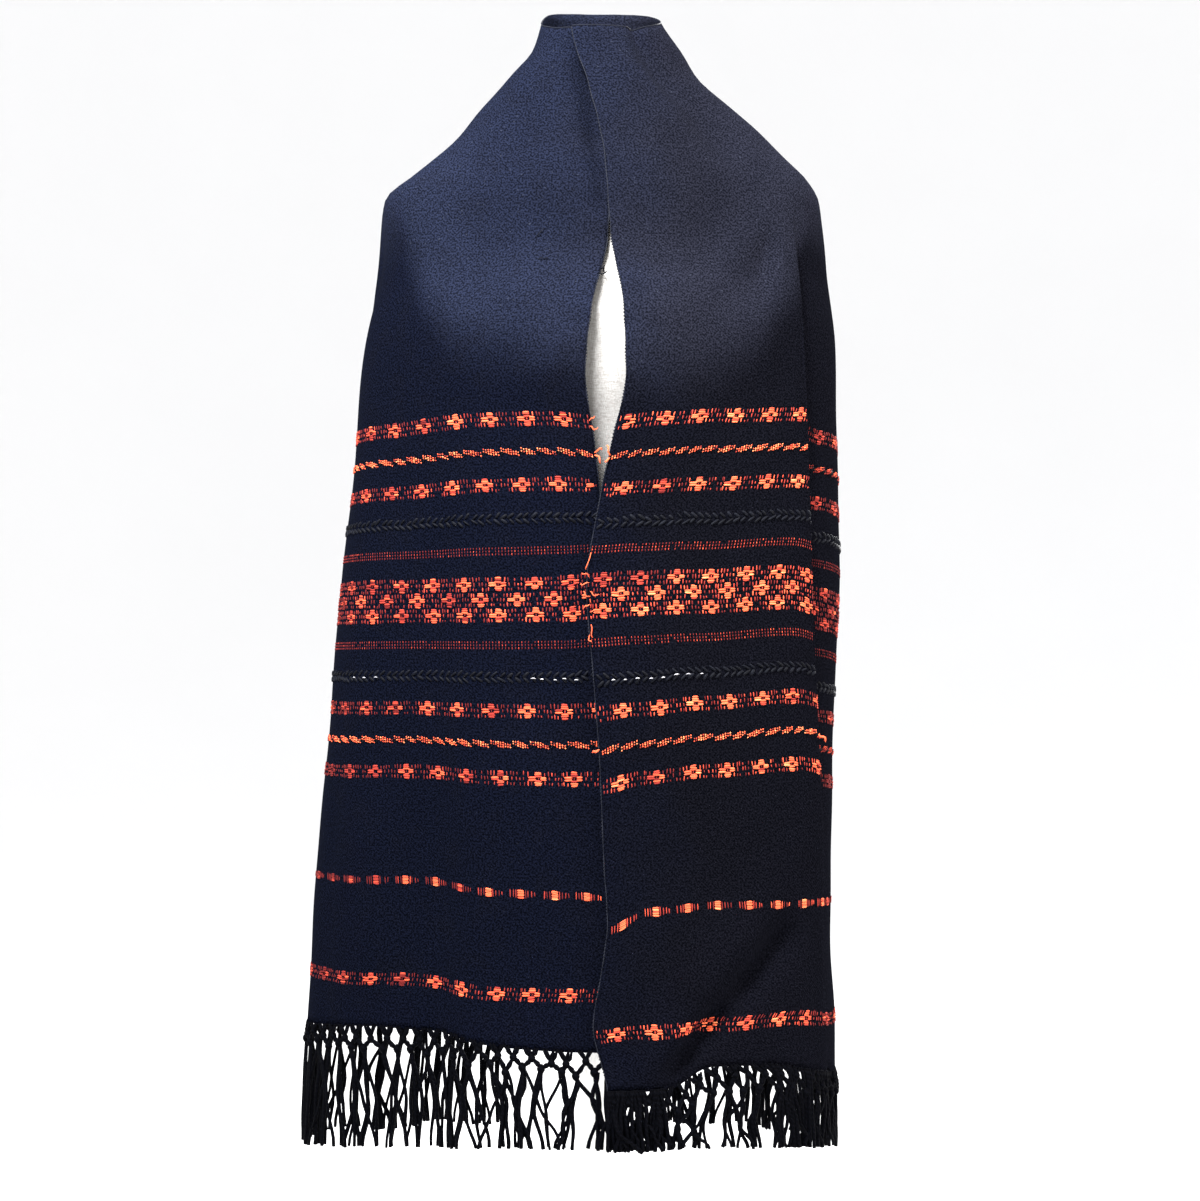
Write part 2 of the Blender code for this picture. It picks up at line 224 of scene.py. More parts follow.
# Bands from the top down: level at each side, and what is woven there
Band = namedtuple("Band", "kind left right shift")
BANDS = rows(Band, (
    ("flowers", 1.0565, 1.063, 0.0),
    ("chain", 1.026, 1.0315, 0.0),
    ("flowers", 0.9955, 0.9985, 0.012),
    ("braid", 0.9645, 0.966, 0.0),
    ("ladder", 0.9345, 0.9405, 0.0),
    ("row", 0.904, 0.9115, 0.005),
    ("row", 0.8895, 0.897, 0.022),
    ("row", 0.875, 0.8825, 0.005),
    ("ladder", 0.847, 0.8545, 0.0),
    ("braid", 0.817, 0.8215, 0.0),
    ("flowers", 0.7855, 0.793, 0.016),
    ("chain", 0.7545, 0.761, 0.0),
    ("flowers", 0.723, 0.729, 0.009),
    ("squares", 0.6145, 0.601, 0.004),
    ("flowers", 0.5205, 0.4885, 0.012),
))

FRINGE_FRONT_Z, FRINGE_SIDE_Z = 0.378, 0.350        # height of the cut ends of the fringe


def ease(t):
    """0 to 1 with level ends."""
    t = np.clip(t, 0.0, 1.0)
    return t * t * (3.0 - 2.0 * t)


def read(table, column, at, key="z"):
    """Values of one named column at some heights, through a monotone cubic."""
    x = np.array([getattr(row, key) for row in table])
    y = np.array([getattr(row, column) for row in table])
    slope = np.diff(y) / np.diff(x)
    tangent = np.zeros(len(x))
    both = slope[:-1] * slope[1:]
    rising = both > 0
    tangent[1:-1][rising] = 2.0 * both[rising] / (slope[:-1] + slope[1:])[rising]
    at = np.clip(np.asarray(at, float), x[0], x[-1])
    i = np.clip(np.searchsorted(x, at) - 1, 0, len(x) - 2)
    span = x[i + 1] - x[i]
    t = (at - x[i]) / span
    start = (1.0 + 2.0 * t) * (1.0 - t) ** 2 * y[i] + t * (1.0 - t) ** 2 * span * tangent[i]
    end = t * t * (3.0 - 2.0 * t) * y[i + 1] + t * t * (t - 1.0) * span * tangent[i + 1]
    return start + end


def bend(rows, columns, row, column):
    """Straight-line reading of a table of arrays at fractional rows and columns."""
    r = np.clip(row, 0, rows.shape[0] - 1.0001)
    c = np.clip(column, 0, columns - 1.0001)
    i, j = r.astype(int), c.astype(int)
    a, b = r - i, c - j
    if rows.ndim == 3:
        a, b = a[..., None], b[..., None]
    low = rows[i, j] * (1 - b) + rows[i, j + 1] * b
    high = rows[i + 1, j] * (1 - b) + rows[i + 1, j + 1] * b
    return low * (1 - a) + high * a


class Half:
    """One side of the shawl: its surface at close levels, read by column or by distance u."""

    LOW, HIGH, LEVELS = 0.330, 1.500, 391
    LEFT_FRONT = 96                 # steps of columns across the left end's front
    RIGHT_FRONT = (60, 34, 16)      # and across the right end's face, folded pleat and side
    REAR_COLUMNS, ARCH_COLUMNS = 46, 8
    U_STEP = 0.001

    def __init__(self, side):
        self.side = side
        self.sign = -1.0 if side == "left" else 1.0
        self.z = np.linspace(self.LOW, self.HIGH, self.LEVELS)
        levels = [self.level(z) for z in self.z]
        self.front = len(levels[0]) - self.REAR_COLUMNS - self.ARCH_COLUMNS
        self.outer = self.front + self.REAR_COLUMNS - 1
        self.last = self.outer + self.ARCH_COLUMNS
        self.points = np.array(levels)
        self.crease()
        self.u = self.distance_in()
        reach = np.arange(0.0, 0.90, self.U_STEP)
        index = np.arange(self.last + 1.0)
        self.column_of_u = np.array([np.interp(reach, row, index) for row in self.u])

    def level(self, z):
        """Points of every column at one height."""
        width = float(read(SECTIONS, self.side, z))
        front, back = float(read(SECTIONS, "front", z)), float(read(SECTIONS, "back", z))
        angle = np.linspace(-0.7, math.pi, 700)
        turn = np.cos(angle)
        x = width * np.sin(angle)
        y = np.where(turn > 0, -front, back) * np.abs(turn) ** 0.86
        run = np.concatenate(([0.0], np.cumsum(np.hypot(np.diff(x), np.diff(y)))))
        run -= np.interp(0.0, angle, run)
        ahead = angle < math.pi / 2

        def run_at(place):
            return float(np.interp(place, x[ahead], run[ahead]))

        seam = float(np.interp(SEAM_ANGLE, angle, run))
        start = run_at(self.sign * float(read(SELVAGES, self.side, z)))
        if self.side == "left":
            along = np.linspace(start, seam, self.LEFT_FRONT + 1)
            away = ease((along - STEP_INNER) / (STEP_OUTER - STEP_INNER))
            out = -float(read(SWINGS, "step", z)) * away * ease((seam - along) / 0.08)
        else:
            along, out = self.pleated(z, start, seam, run_at)
        shape = REARS[self.side]
        end = float(np.interp(math.radians(shape.outer_angle), angle, run))
        q = np.linspace(0.0, 1.0, self.REAR_COLUMNS)
        wave = np.sin(2.0 * math.pi * shape.flutes * q ** shape.skew)
        wave = wave * ease(q / 0.2) * ease((1.0 - q) / 0.15) * float(read(SWINGS, "flute", z))
        across = np.arange(1, self.ARCH_COLUMNS + 1) / self.ARCH_COLUMNS
        near = math.pi - math.radians(shape.outer_angle)
        arch = np.interp(math.pi - near * (1.0 - np.sin(across * math.pi / 2)), angle, run)
        run_all = np.concatenate([along[:-1], seam + (end - seam) * q, arch])
        out_all = np.concatenate([out[:-1], wave, np.zeros(self.ARCH_COLUMNS)])
        small = 0.002
        dx = np.interp(run_all + small, run, x) - np.interp(run_all - small, run, x)
        dy = np.interp(run_all + small, run, y) - np.interp(run_all - small, run, y)
        length = np.hypot(dx, dy)
        px = np.interp(run_all, run, x) + out_all * dy / length
        py = np.interp(run_all, run, y) - out_all * dx / length
        return np.stack([self.sign * px, py, np.full(len(px), z)], axis=1)

    def pleated(self, z, start, seam, run_at):
        """The right fall's face, lapped over the left one, the S of its pleat, and its side."""
        face, folded, side = self.RIGHT_FRONT
        turn = float(read(PLEATS, "turn", z))
        fold = run_at(float(read(PLEATS, "fold_x", z)))
        pleat = min(fold - 0.27 * PLEAT_RUN - turn, seam - PLEAT_RETURN - PLEAT_RUN)
        gap = 2.0 * PLEAT_LAYER * float(ease(turn / 0.012))
        along = np.linspace(start, pleat, face, endpoint=False)
        lap = 1.0 - ease((along - LAP_FULL) / (LAP_END - LAP_FULL))
        out = LAP * lap * ease((pleat - along) / 0.03)
        q = np.linspace(0.0, 1.0, folded, endpoint=False)
        s_run = pleat + PLEAT_RUN * q + turn * np.sin(2.0 * math.pi * q)
        tail = np.linspace(0.0, 1.0, side + 1)
        on = pleat + PLEAT_RUN + (seam - pleat - PLEAT_RUN) * tail
        return (np.concatenate([along, s_run, on]),
                np.concatenate([out, -gap * ease(q), -gap * (1.0 - ease(tail))]))

    def normals(self):
        """Outward unit normals of the stack of levels."""
        across = np.gradient(self.points, axis=1)
        up = np.gradient(self.points, axis=0)
        normal = np.cross(across, up) * self.sign
        return normal / np.maximum(np.linalg.norm(normal, axis=2, keepdims=True), 1e-12)

    def crease(self):
        """Adds the creases and a slow unevenness to the drape."""
        x, y, z = self.points[..., 0], self.points[..., 1], self.points[..., 2]
        moved = np.zeros_like(x)
        column = np.arange(self.last + 1)[None, :]
        near_fold = ease((self.front - column) / 10.0) * ease((0.008 - y) / 0.022)
        if self.side == "right":
            near_fold = near_fold * np.maximum(ease((self.RIGHT_FRONT[0] - column) / 8.0),
                                               ease((z - PLEAT_END_Z) / 0.040))
        for face, on_face in (("front", near_fold), ("back", y > 0.005)):
            for crease in CREASES[self.side, face]:
                dx, dz = crease.x1 - crease.x0, crease.z1 - crease.z0
                length = math.hypot(dx, dz)
                along = ((x - crease.x0) * dx + (z - crease.z0) * dz) / length
                off = ((x - crease.x0) * dz - (z - crease.z0) * dx) / length
                start, end = along + 0.6 * crease.width, length - along + 0.6 * crease.width
                fade = ease(start / (0.25 * length + crease.width))
                fade = fade * ease(end / (0.3 * length + crease.width))
                moved += crease.depth * np.exp(-0.5 * (off / crease.width) ** 2) * fade * on_face
        for height, spread, depth in CHEST:
            moved += near_fold * depth * np.exp(-0.5 * ((z - height) / spread) ** 2)
        slow = (0.0011 * np.sin(31.0 * x + 9.0 * z + 1.3) * np.sin(14.0 * z - 7.0 * x)
                + 0.0006 * np.sin(73.0 * x - 21.0 * z) * np.sin(37.0 * z + 2.0))
        moved += slow * ease((1.44 - z) / 0.05)
        moved += 0.0012 * np.sin(2 * math.pi * z / 0.034 + 3.0 * np.sin(11.0 * z)) * np.exp(
            -self.distance_in() / 0.010)
        self.points = self.points + self.normals() * moved[..., None]

    def distance_in(self):
        """Distance of each column from the inner selvage."""
        step = np.linalg.norm(np.diff(self.points[..., :2], axis=1), axis=2)
        return np.concatenate([np.zeros((self.LEVELS, 1)), np.cumsum(step, axis=1)], axis=1)

    def level_of(self, z):
        return (np.asarray(z, float) - self.LOW) / (self.HIGH - self.LOW) * (self.LEVELS - 1)

    def at_column(self, column, z):
        """Points on the columns at these heights."""
        column = np.broadcast_to(np.asarray(column, float), np.shape(z))
        return bend(self.points, self.last + 1, self.level_of(z), column)

    def u_at(self, column, z):
        column = np.broadcast_to(np.asarray(column, float), np.shape(z))
        return bend(self.u, self.last + 1, self.level_of(z), column)

    def droop(self, u, z):
        """How far the weft thread of level z hangs above that level at a distance u."""
        u, z = np.broadcast_arrays(np.asarray(u, float), np.asarray(z, float))
        total = np.zeros(u.shape)
        names = Droop._fields[1:]
        for k, name in enumerate(names):
            before = DROOP_U[k - 1] if k else -1.0
            after = DROOP_U[k + 1] if k + 1 < len(names) else 9.0
            rise = ease((u - before) / (DROOP_U[k] - before)) if k else np.ones(u.shape)
            fall = 1.0 - ease((u - DROOP_U[k]) / (after - DROOP_U[k]))
            if k + 1 == len(names):
                fall = np.ones(u.shape)
            total += rise * fall * read(DROOPS[self.side], name, z)
        return total

    def place(self, u, z):
        """Points at a distance u along the weft threads of level z."""
        u, z = np.broadcast_arrays(np.asarray(u, float), np.asarray(z, float))
        height = z + self.droop(u, z)
        level = self.level_of(height)
        column = bend(self.column_of_u, self.column_of_u.shape[1], level, u / self.U_STEP)
        return bend(self.points, self.last + 1, level, column)

    def place_with_normal(self, u, z, out=0.0):
        """Points moved out from the cloth by a small amount."""
        small = 0.0012
        across = self.place(u + small, z) - self.place(u - small, z)
        up = self.place(u, z + small) - self.place(u, z - small)
        normal = np.cross(across, up) * self.sign
        normal /= np.maximum(np.linalg.norm(normal, axis=-1, keepdims=True), 1e-12)
        return self.place(u, z) + normal * np.asarray(out)[..., None]


LEFT, RIGHT = Half("left"), Half("right")

# ---------------------------------------------------------------- mesh helpers


class Mesh:
    """Collects vertices, faces and texture coordinates, and makes one object of them."""

    def __init__(self):
        self.points, self.uvs, self.faces, self.caps, self.count = [], [], [], [], 0
        self.corner_uvs = None

    def add(self, points, faces, uvs=None):
        points = np.asarray(points, float).reshape(-1, 3)
        uvs = np.zeros((len(points), 2)) if uvs is None else np.asarray(uvs, float)
        self.points.append(points)
        self.uvs.append(uvs.reshape(-1, 2))
        self.faces.append(np.asarray(faces, int) + self.count)
        self.count += len(points)

    def grid(self, points, uvs=None, turned=False, closed=False):
        """A sheet of quads over an array of rows and columns of points."""
        rows, columns = points.shape[:2]
        index = np.arange(rows * columns).reshape(rows, columns)
        if closed:
            index = np.concatenate([index, index[:, :1]], axis=1)
        a, b = index[:-1, :-1], index[:-1, 1:]
        c, d = index[1:, 1:], index[1:, :-1]
        quads = np.stack([a, b, c, d] if not turned else [a, d, c, b], axis=-1).reshape(-1, 4)
        self.add(points, quads, uvs)

    def tube(self, path, radius, sides=6, round_ends=True):
        """A round strand along a path, with u round it and v along it."""
        path = np.asarray(path, float)
        radius = np.broadcast_to(np.asarray(radius, float), len(path)).copy()
        if round_ends:
            radius[0] *= 0.45
            radius[-1] *= 0.45
        ahead = np.gradient(path, axis=0)
        ahead /= np.maximum(np.linalg.norm(ahead, axis=1, keepdims=True), 1e-12)
        guide = np.array([0.13, -0.97, 0.21])
        first = np.cross(ahead, guide)
        first /= np.maximum(np.linalg.norm(first, axis=1, keepdims=True), 1e-12)
        second = np.cross(ahead, first)
        angle = np.arange(sides) * 2.0 * math.pi / sides
        ring = (np.cos(angle)[None, :, None] * first[:, None]
                + np.sin(angle)[None, :, None] * second[:, None])
        points = path[:, None] + ring * radius[:, None, None]
        run = np.concatenate(([0.0], np.cumsum(np.linalg.norm(np.diff(path, axis=0), axis=1))))
        uvs = np.stack(np.broadcast_arrays(angle[None, :] / (2 * math.pi), run[:, None]), axis=-1)
        start = self.count
        self.grid(points, uvs, closed=True)
        caps = [list(range(start, start + sides))[::-1],
                list(range(start + (len(path) - 1) * sides, start + len(path) * sides))]
        self.caps += caps

    def build(self, name, smooth=True):
        points, uvs = np.concatenate(self.points), np.concatenate(self.uvs)
        faces = [face.tolist() for block in self.faces for face in block]
        faces += self.caps
        mesh = bpy.data.meshes.new(name)
        mesh.from_pydata(points.tolist(), [], faces)
        layer = mesh.uv_layers.new(name="UVMap")
        corner = np.empty(len(mesh.loops), np.int32)
        mesh.loops.foreach_get("vertex_index", corner)
        flat = uvs[corner] if self.corner_uvs is None else self.corner_uvs
        layer.data.foreach_set("uv", flat.astype(np.float32).ravel())
        if smooth:
            mesh.shade_smooth()
        made = bpy.data.objects.new(name, mesh)
        bpy.context.scene.collection.objects.link(made)
        return made


# ---------------------------------------------------------------- the cloth

UPPER_ROWS, LOWER_ROWS = 112, 26


def rim_height(half):
    """Height of the neck edge on each column, from how far round the neck it stands."""
    level = int(half.level_of(1.455))
    x, y = half.points[level, :, 0], half.points[level, :, 1]
    return read(RIMS, "height", np.degrees(np.arctan2(half.sign * x, -y)), key="angle")


def arch_height(half, columns):
    """Height of the cloth's lower edge behind, which arches up between the two ends."""
    reach = np.sin(np.clip(columns - half.outer, 0, None) / half.ARCH_COLUMNS * math.pi / 2)
    return JOIN_Z + (ARCH_Z - JOIN_Z) * np.sqrt(1.0 - (1.0 - reach) ** 2)


def half_rows(half):
    """Lower rows (hem to JOIN_Z, up to the outer selvage) and upper rows (JOIN_Z to the rim)."""
    columns = np.arange(half.last + 1)
    at_join = half.at_column(columns, np.full(len(columns), JOIN_Z))
    low = read(HEMS, half.side, np.abs(at_join[:half.outer + 1, 0]), key="x")
    t = np.linspace(0.0, 1.0, LOWER_ROWS)[:, None]
    lower_z = low[None, :] + (JOIN_Z - low[None, :]) * t
    lower = columns[None, :half.outer + 1] + 0 * t, lower_z
    rim = rim_height(half)
    arch = arch_height(half, columns)
    t = np.linspace(0.0, 1.0, UPPER_ROWS)[:, None]
    upper_z = arch[None, :] + (rim[None, :] - arch[None, :]) * t
    upper = columns[None, :] + 0 * t, upper_z
    return lower, upper


def cloth_uv(half, column, z):
    """Texture coordinates in metres: along the weft, below 0 on the left, and along the warp."""
    u = half.u_at(column, z)
    return np.stack([half.sign * u, z - half.droop(u, z)], axis=-1)


def cloth():
    """The whole shawl as one closed thin shell."""
    quads, corners, outer, inner, start = [], [], [], [], 0
    middle = None
    for half in (LEFT, RIGHT):
        normal = half.normals()
        (low_out, low_in, low_uv), (up_out, up_in, up_uv) = [
            shell_block(half, normal, column.astype(float), z) for column, z in half_rows(half)]
        count, own = half.outer + 1, half.last + (half.side == "left")
        low_index = start + np.arange(LOWER_ROWS * count).reshape(LOWER_ROWS, count)
        start += (LOWER_ROWS - 1) * count
        up_index = start + np.arange(UPPER_ROWS * own).reshape(UPPER_ROWS, own)
        start += UPPER_ROWS * own
        outer += [low_out[:-1].reshape(-1, 3), up_out[:, :own].reshape(-1, 3)]
        inner += [low_in[:-1].reshape(-1, 3), up_in[:, :own].reshape(-1, 3)]
        low_index[-1] = up_index[0, :count]
        if half.side == "left":
            middle = up_index[:, -1:]
        else:
            up_index = np.concatenate([up_index, middle], axis=1)
        for index, uv in ((low_index, low_uv), (up_index, up_uv)):
            quads.append(sheet_quads(index, half.side == "left"))
            places = sheet_quads(np.arange(index.size).reshape(index.shape), half.side == "left")
            corners.append(uv.reshape(-1, 2)[places])
    quads, corners = np.concatenate(quads), np.concatenate(corners)
    outer, inner = np.concatenate(outer), np.concatenate(inner)
    total = len(outer)
    edges = {}
    for quad, corner in zip(quads.tolist(), corners):
        for i in range(4):
            edges[quad[i], quad[(i + 1) % 4]] = corner[i], corner[(i + 1) % 4]
    border = [edge for edge in edges if (edge[1], edge[0]) not in edges]
    sides = np.array([[b, a, a + total, b + total] for a, b in border])
    side_uv = np.array([[edges[e][1], edges[e][0], edges[e][0], edges[e][1]] for e in border])
    mesh = Mesh()
    mesh.add(np.concatenate([outer, inner]), np.concatenate([quads, quads[:, ::-1] + total, sides]))
    mesh.corner_uvs = np.concatenate([corners, corners[:, ::-1], side_uv]).reshape(-1, 2)
    return mesh.build("rebozo_cloth")


def shell_block(half, normal, column, z):
    """Outer points, inner points and texture coordinates of one block of rows."""
    points = half.at_column(column, z)
    facing = bend(normal, half.last + 1, half.level_of(z), column)
    return points, points - facing * CLOTH_WALL, cloth_uv(half, column, z)


def sheet_quads(index, turned):
    a, b, c, d = index[:-1, :-1], index[:-1, 1:], index[1:, 1:], index[1:, :-1]
    return np.stack([a, d, c, b] if turned else [a, b, c, d], axis=-1).reshape(-1, 4)


# ---------------------------------------------------------------- materials


class Look:
    """A node material, with short calls for the nodes that these fabrics use."""

    def __init__(self, name):
        self.material = bpy.data.materials.new(name)
        self.material.use_nodes = True
        self.tree = self.material.node_tree
        self.shader = self.tree.nodes["Principled BSDF"]
        self.column = 0

    def node(self, kind, **values):
        made = self.tree.nodes.new(kind)
        self.column += 1
        made.location = (-2400 + 180 * (self.column % 12), 500 - 240 * (self.column // 12))
        for key, value in values.items():
            if key in made.inputs:
                self.feed(made, key, value)
            else:
                setattr(made, key, value)
        return made

    def feed(self, node, key, value):
        if hasattr(value, "is_output"):
            self.tree.links.new(value, node.inputs[key])
        else:
            node.inputs[key].default_value = value

    def place(self, kind="Object"):
        return self.node("ShaderNodeTexCoord").outputs[kind]

    def split(self, vector):
        made = self.node("ShaderNodeSeparateXYZ")
        self.feed(made, 0, vector)
        return made.outputs

    def stretched(self, vector, scale):
        made = self.node("ShaderNodeMapping")
        made.inputs["Scale"].default_value = scale
        self.feed(made, "Vector", vector)
        return made.outputs[0]

    def chance(self):
        """A number of its own for each stitch."""
        return self.node("ShaderNodeNewGeometry").outputs["Random Per Island"]

    def math(self, operation, a, b=0.0, c=0.0):
        made = self.node("ShaderNodeMath", operation=operation)
        for index, value in enumerate((a, b, c)):
            self.feed(made, index, value)
        return made.outputs[0]

    def mix(self, factor, a, b):
        made = self.node("ShaderNodeMix", data_type="RGBA")
        self.feed(made, 0, factor)
        self.feed(made, 6, a)
        self.feed(made, 7, b)
        return made.outputs[2]

    def noise(self, vector, scale, detail=2.0, roughness=0.5):
        made = self.node("ShaderNodeTexNoise", Scale=scale, Detail=detail, Roughness=roughness)
        self.feed(made, "Vector", vector)
        return made.outputs["Fac"]

    def scaled(self, colour, amount):
        """The colour made darker or lighter by a factor."""
        made = self.node("ShaderNodeVectorMath", operation="SCALE")
        self.feed(made, 0, colour)
        self.feed(made, "Scale", amount)
        return made.outputs[0]

    def ramp(self, value, low, high):
        made = self.node("ShaderNodeMapRange", interpolation_type="SMOOTHSTEP")
        self.feed(made, "Value", value)
        self.feed(made, "From Min", low)
        self.feed(made, "From Max", high)
        return made.outputs["Result"]

    def bump(self, height, strength, distance, normal=None):
        made = self.node("ShaderNodeBump", Strength=strength, Distance=distance)
        self.feed(made, "Height", height)
        if normal is not None:
            self.feed(made, "Normal", normal)
        return made.outputs["Normal"]

    def finish(self, colour, normal=None, roughness=0.85, sheen=0.0, tint=(1, 1, 1, 1),
               gloss=0.0):
        self.feed(self.shader, "Base Color", colour)
        self.feed(self.shader, "Roughness", roughness)
        self.shader.inputs["Sheen Weight"].default_value = sheen
        self.shader.inputs["Sheen Roughness"].default_value = 0.45
        self.shader.inputs["Sheen Tint"].default_value = tint
        self.shader.inputs["Specular IOR Level"].default_value = gloss
        if normal is not None:
            self.feed(self.shader, "Normal", normal)
        return self.material


TWILL, WEFT = 0.00340, 0.00170      # spacing of the slanting lines and of the weft cords


def woven_look():
    """Navy and black handwoven cotton: fine slanting cords, slubs and specks. Painted light: a
    lighter yoke, as lit from above, and a bluer left side, as under a cool light from the left.
    """
    look = Look("navy_handwoven")
    uv, place = look.place("UV"), look.place()
    across, along = look.split(uv)[:2]
    twill = look.math("SINE", look.math("MULTIPLY", look.math("ADD", across, along),
                                        2 * math.pi / TWILL))
    weft = look.math("SINE", look.math("MULTIPLY", along, 2 * math.pi / WEFT))
    weave = look.math("MULTIPLY_ADD", look.math("MULTIPLY", twill, weft), 0.5, 0.5)
    weave = look.math("MULTIPLY_ADD", twill, 0.40, weave)
    slub = look.noise(look.stretched(uv, (1.0, 5.0, 1.0)), 150.0, 3.0, 0.65)
    threads = look.noise(uv, 560.0, 0.0, 0.5)
    clouds = look.math("SUBTRACT", look.noise(place, 11.0, 4.0, 0.6), 0.5)
    spots = look.noise(place, 42.0, 2.0, 0.5)
    # painted cool light: the left side is made bluer and the right side a more neutral black
    painted_cool_light = look.ramp(look.math("MULTIPLY_ADD", clouds, 0.16,
                               look.math("MULTIPLY", look.split(place)[0], -1.0)), -0.10, 0.06)
    dye_and_painted_light = look.mix(painted_cool_light, (0.0018, 0.0018, 0.0027, 1), (0.0015, 0.0020, 0.0048, 1))
    # painted light from above: the yoke over the shoulders and bust is made lighter
    lit_from_above = painted_light_from_above(look, across, along, clouds)
    dye_and_painted_light = look.mix(look.math("MULTIPLY", lit_from_above, 0.80), dye_and_painted_light,
                   look.mix(painted_cool_light, (0.0063, 0.0065, 0.0102, 1), (0.0055, 0.0070, 0.0144, 1)))
    dye_and_painted_light = look.mix(look.math("MULTIPLY", look.ramp(spots, 0.45, 0.75), 0.30), dye_and_painted_light,
                   (0.0022, 0.0023, 0.0037, 1))
    dye_and_painted_light = look.scaled(dye_and_painted_light, look.math("MULTIPLY_ADD", look.ramp(threads, 0.34, 0.66), 1.50, 0.40))
    lint = look.math("MULTIPLY", look.ramp(look.noise(uv, 330.0, 1.0, 0.5), 0.69, 0.76), 0.5)
    dye_and_painted_light = look.mix(lint, dye_and_painted_light,
                   look.mix(lit_from_above, (0.0080, 0.0090, 0.0140, 1), (0.030, 0.034, 0.048, 1)))
    dye_and_painted_light = look.mix(look.math("MULTIPLY", look.ramp(slub, 0.54, 0.70), 0.65), dye_and_painted_light,
                   (0.0007, 0.0008, 0.0017, 1))
    dye_and_painted_light = look.mix(look.math("MULTIPLY", weave, 0.30), dye_and_painted_light,
                   look.mix(lit_from_above, (0.0037, 0.0043, 0.0078, 1), (0.0111, 0.0130, 0.0215, 1)))
    height = look.math("ADD", look.math("MULTIPLY", weave, 0.6),
                       look.math("MULTIPLY", threads, 0.8))
    normal = look.bump(height, 0.60, 0.0004)
    normal = look.bump(look.noise(place, 38.0, 3.0, 0.5), 0.22, 0.004, normal)
    return look.finish(dye_and_painted_light, normal, 0.90, 0.004, (0.70, 0.76, 1.0, 1))


def painted_light_from_above(look, across, along, clouds):
    """Painted light from above: how much lighter the cloth is painted, most over the shoulders,
    less at the neck, none below the chest.
    """
    wide = look.math("ABSOLUTE", across)
    drop = look.math("MULTIPLY", look.math("POWER", look.math("MINIMUM", wide, 0.21), 3.0), 15.5)
    low = look.math("MULTIPLY_ADD", clouds, 0.05, along)
    lit_from_above = look.ramp(look.math("SUBTRACT", low, drop), 1.068, 1.146)
    shaded = look.math("MULTIPLY", look.ramp(along, 1.180, 1.270), look.ramp(wide, 0.200, 0.090))
    return look.math("MULTIPLY", lit_from_above, look.math("MULTIPLY_ADD", shaded, -0.40, 1.10))


TONE_STEP = 2.0         # metres of u between one tone of yarn and the next in the texture
PLY_TURN = 0.0048       # length of one turn of a fringe strand's plies


def coral_look():
    """Brocade yarn: the texture's u holds the tone, from deep rust to light orange, and with it the
    painted shade from shadow().
    """
    look = Look("coral_yarn")
    tone = look.math("FLOOR", look.math("DIVIDE", look.split(look.place("UV"))[0], TONE_STEP))
    tone = look.math("MULTIPLY_ADD", look.math("SUBTRACT", look.chance(), 0.5), 1.5, tone)
    colour = look.mix(look.ramp(tone, -0.2, 1.4), (0.100, 0.010, 0.010, 1), (0.31, 0.032, 0.022, 1))
    colour = look.mix(look.ramp(tone, 1.0, 3.0), colour, (0.74, 0.108, 0.044, 1))
    colour = look.mix(look.ramp(tone, 3.0, 5.2), colour, (0.93, 0.29, 0.115, 1))
    fibre = look.noise(look.place(), 1500.0, 2.0, 0.6)
    colour = look.mix(look.math("MULTIPLY", look.ramp(fibre, 0.45, 0.8), 0.45), colour,
                      (0.16, 0.016, 0.012, 1))
    return look.finish(colour, look.bump(fibre, 0.5, 0.0003), 0.72, 0.02, (1.0, 0.75, 0.6, 1), 0.05)


def yarn_look(name, dark, light):
    """Plain twisted yarn whose stitches differ a little."""
    look = Look(name)
    fibre = look.noise(look.place(), 1300.0, 2.0, 0.6)
    own = look.math("MULTIPLY", look.chance(), 0.5)
    colour = look.mix(look.math("MULTIPLY_ADD", fibre, 0.5, own), dark, light)
    return look.finish(colour, look.bump(fibre, 0.5, 0.0003), 0.60, 0.0, gloss=0.06)


def strand_look():
    """Black twisted cotton of the fringe: slanting plies and a few lighter fibres."""
    look = Look("black_strands")
    around, along = look.split(look.place("UV"))[:2]
    ply = look.math("ADD", look.math("MULTIPLY", around, 4 * math.pi),
                    look.math("MULTIPLY", along, 2 * math.pi / PLY_TURN))
    twist = look.math("MULTIPLY_ADD", look.math("SINE", ply), 0.5, 0.5)
    fibre = look.noise(look.place(), 900.0, 2.0, 0.6)
    colour = look.mix(look.math("MULTIPLY", twist, 0.5), (0.0004, 0.0004, 0.0008, 1),
                      (0.0015, 0.0018, 0.0033, 1))
    colour = look.mix(look.math("MULTIPLY", look.ramp(fibre, 0.6, 0.8), 0.5), colour,
                      (0.0070, 0.0082, 0.0130, 1))
    return look.finish(colour, look.bump(twist, 0.6, 0.0006), 0.8, 0.0, gloss=0.02)


def linen_look():
    """Plain cream linen: crossing slubby threads."""
    look = Look("cream_linen")
    place = look.place()
    heights = [look.noise(look.stretched(place, scale), 160.0, 3.0, 0.6)
               for scale in ((1.0, 1.0, 9.0), (9.0, 9.0, 1.0))]
    both = look.math("MULTIPLY", look.math("ADD", *heights), 0.5)
    colour = look.mix(look.ramp(both, 0.38, 0.62), (0.27, 0.255, 0.235, 1),
                      (0.43, 0.415, 0.395, 1))
    return look.finish(colour, look.bump(both, 0.35, 0.0006), 0.9, 0.1)


def enamel_look():
    """Satin white enamel with a little orange peel."""
    look = Look("white_enamel")
    place = look.place()
    tone = look.noise(place, 14.0, 2.0, 0.5)
    colour = look.mix(tone, (0.80, 0.79, 0.77, 1), (0.86, 0.85, 0.83, 1))
    peel = look.noise(place, 260.0, 2.0, 0.5)
    return look.finish(colour, look.bump(peel, 0.12, 0.0004), 0.4, gloss=0.4)


# ---------------------------------------------------------------- brocade

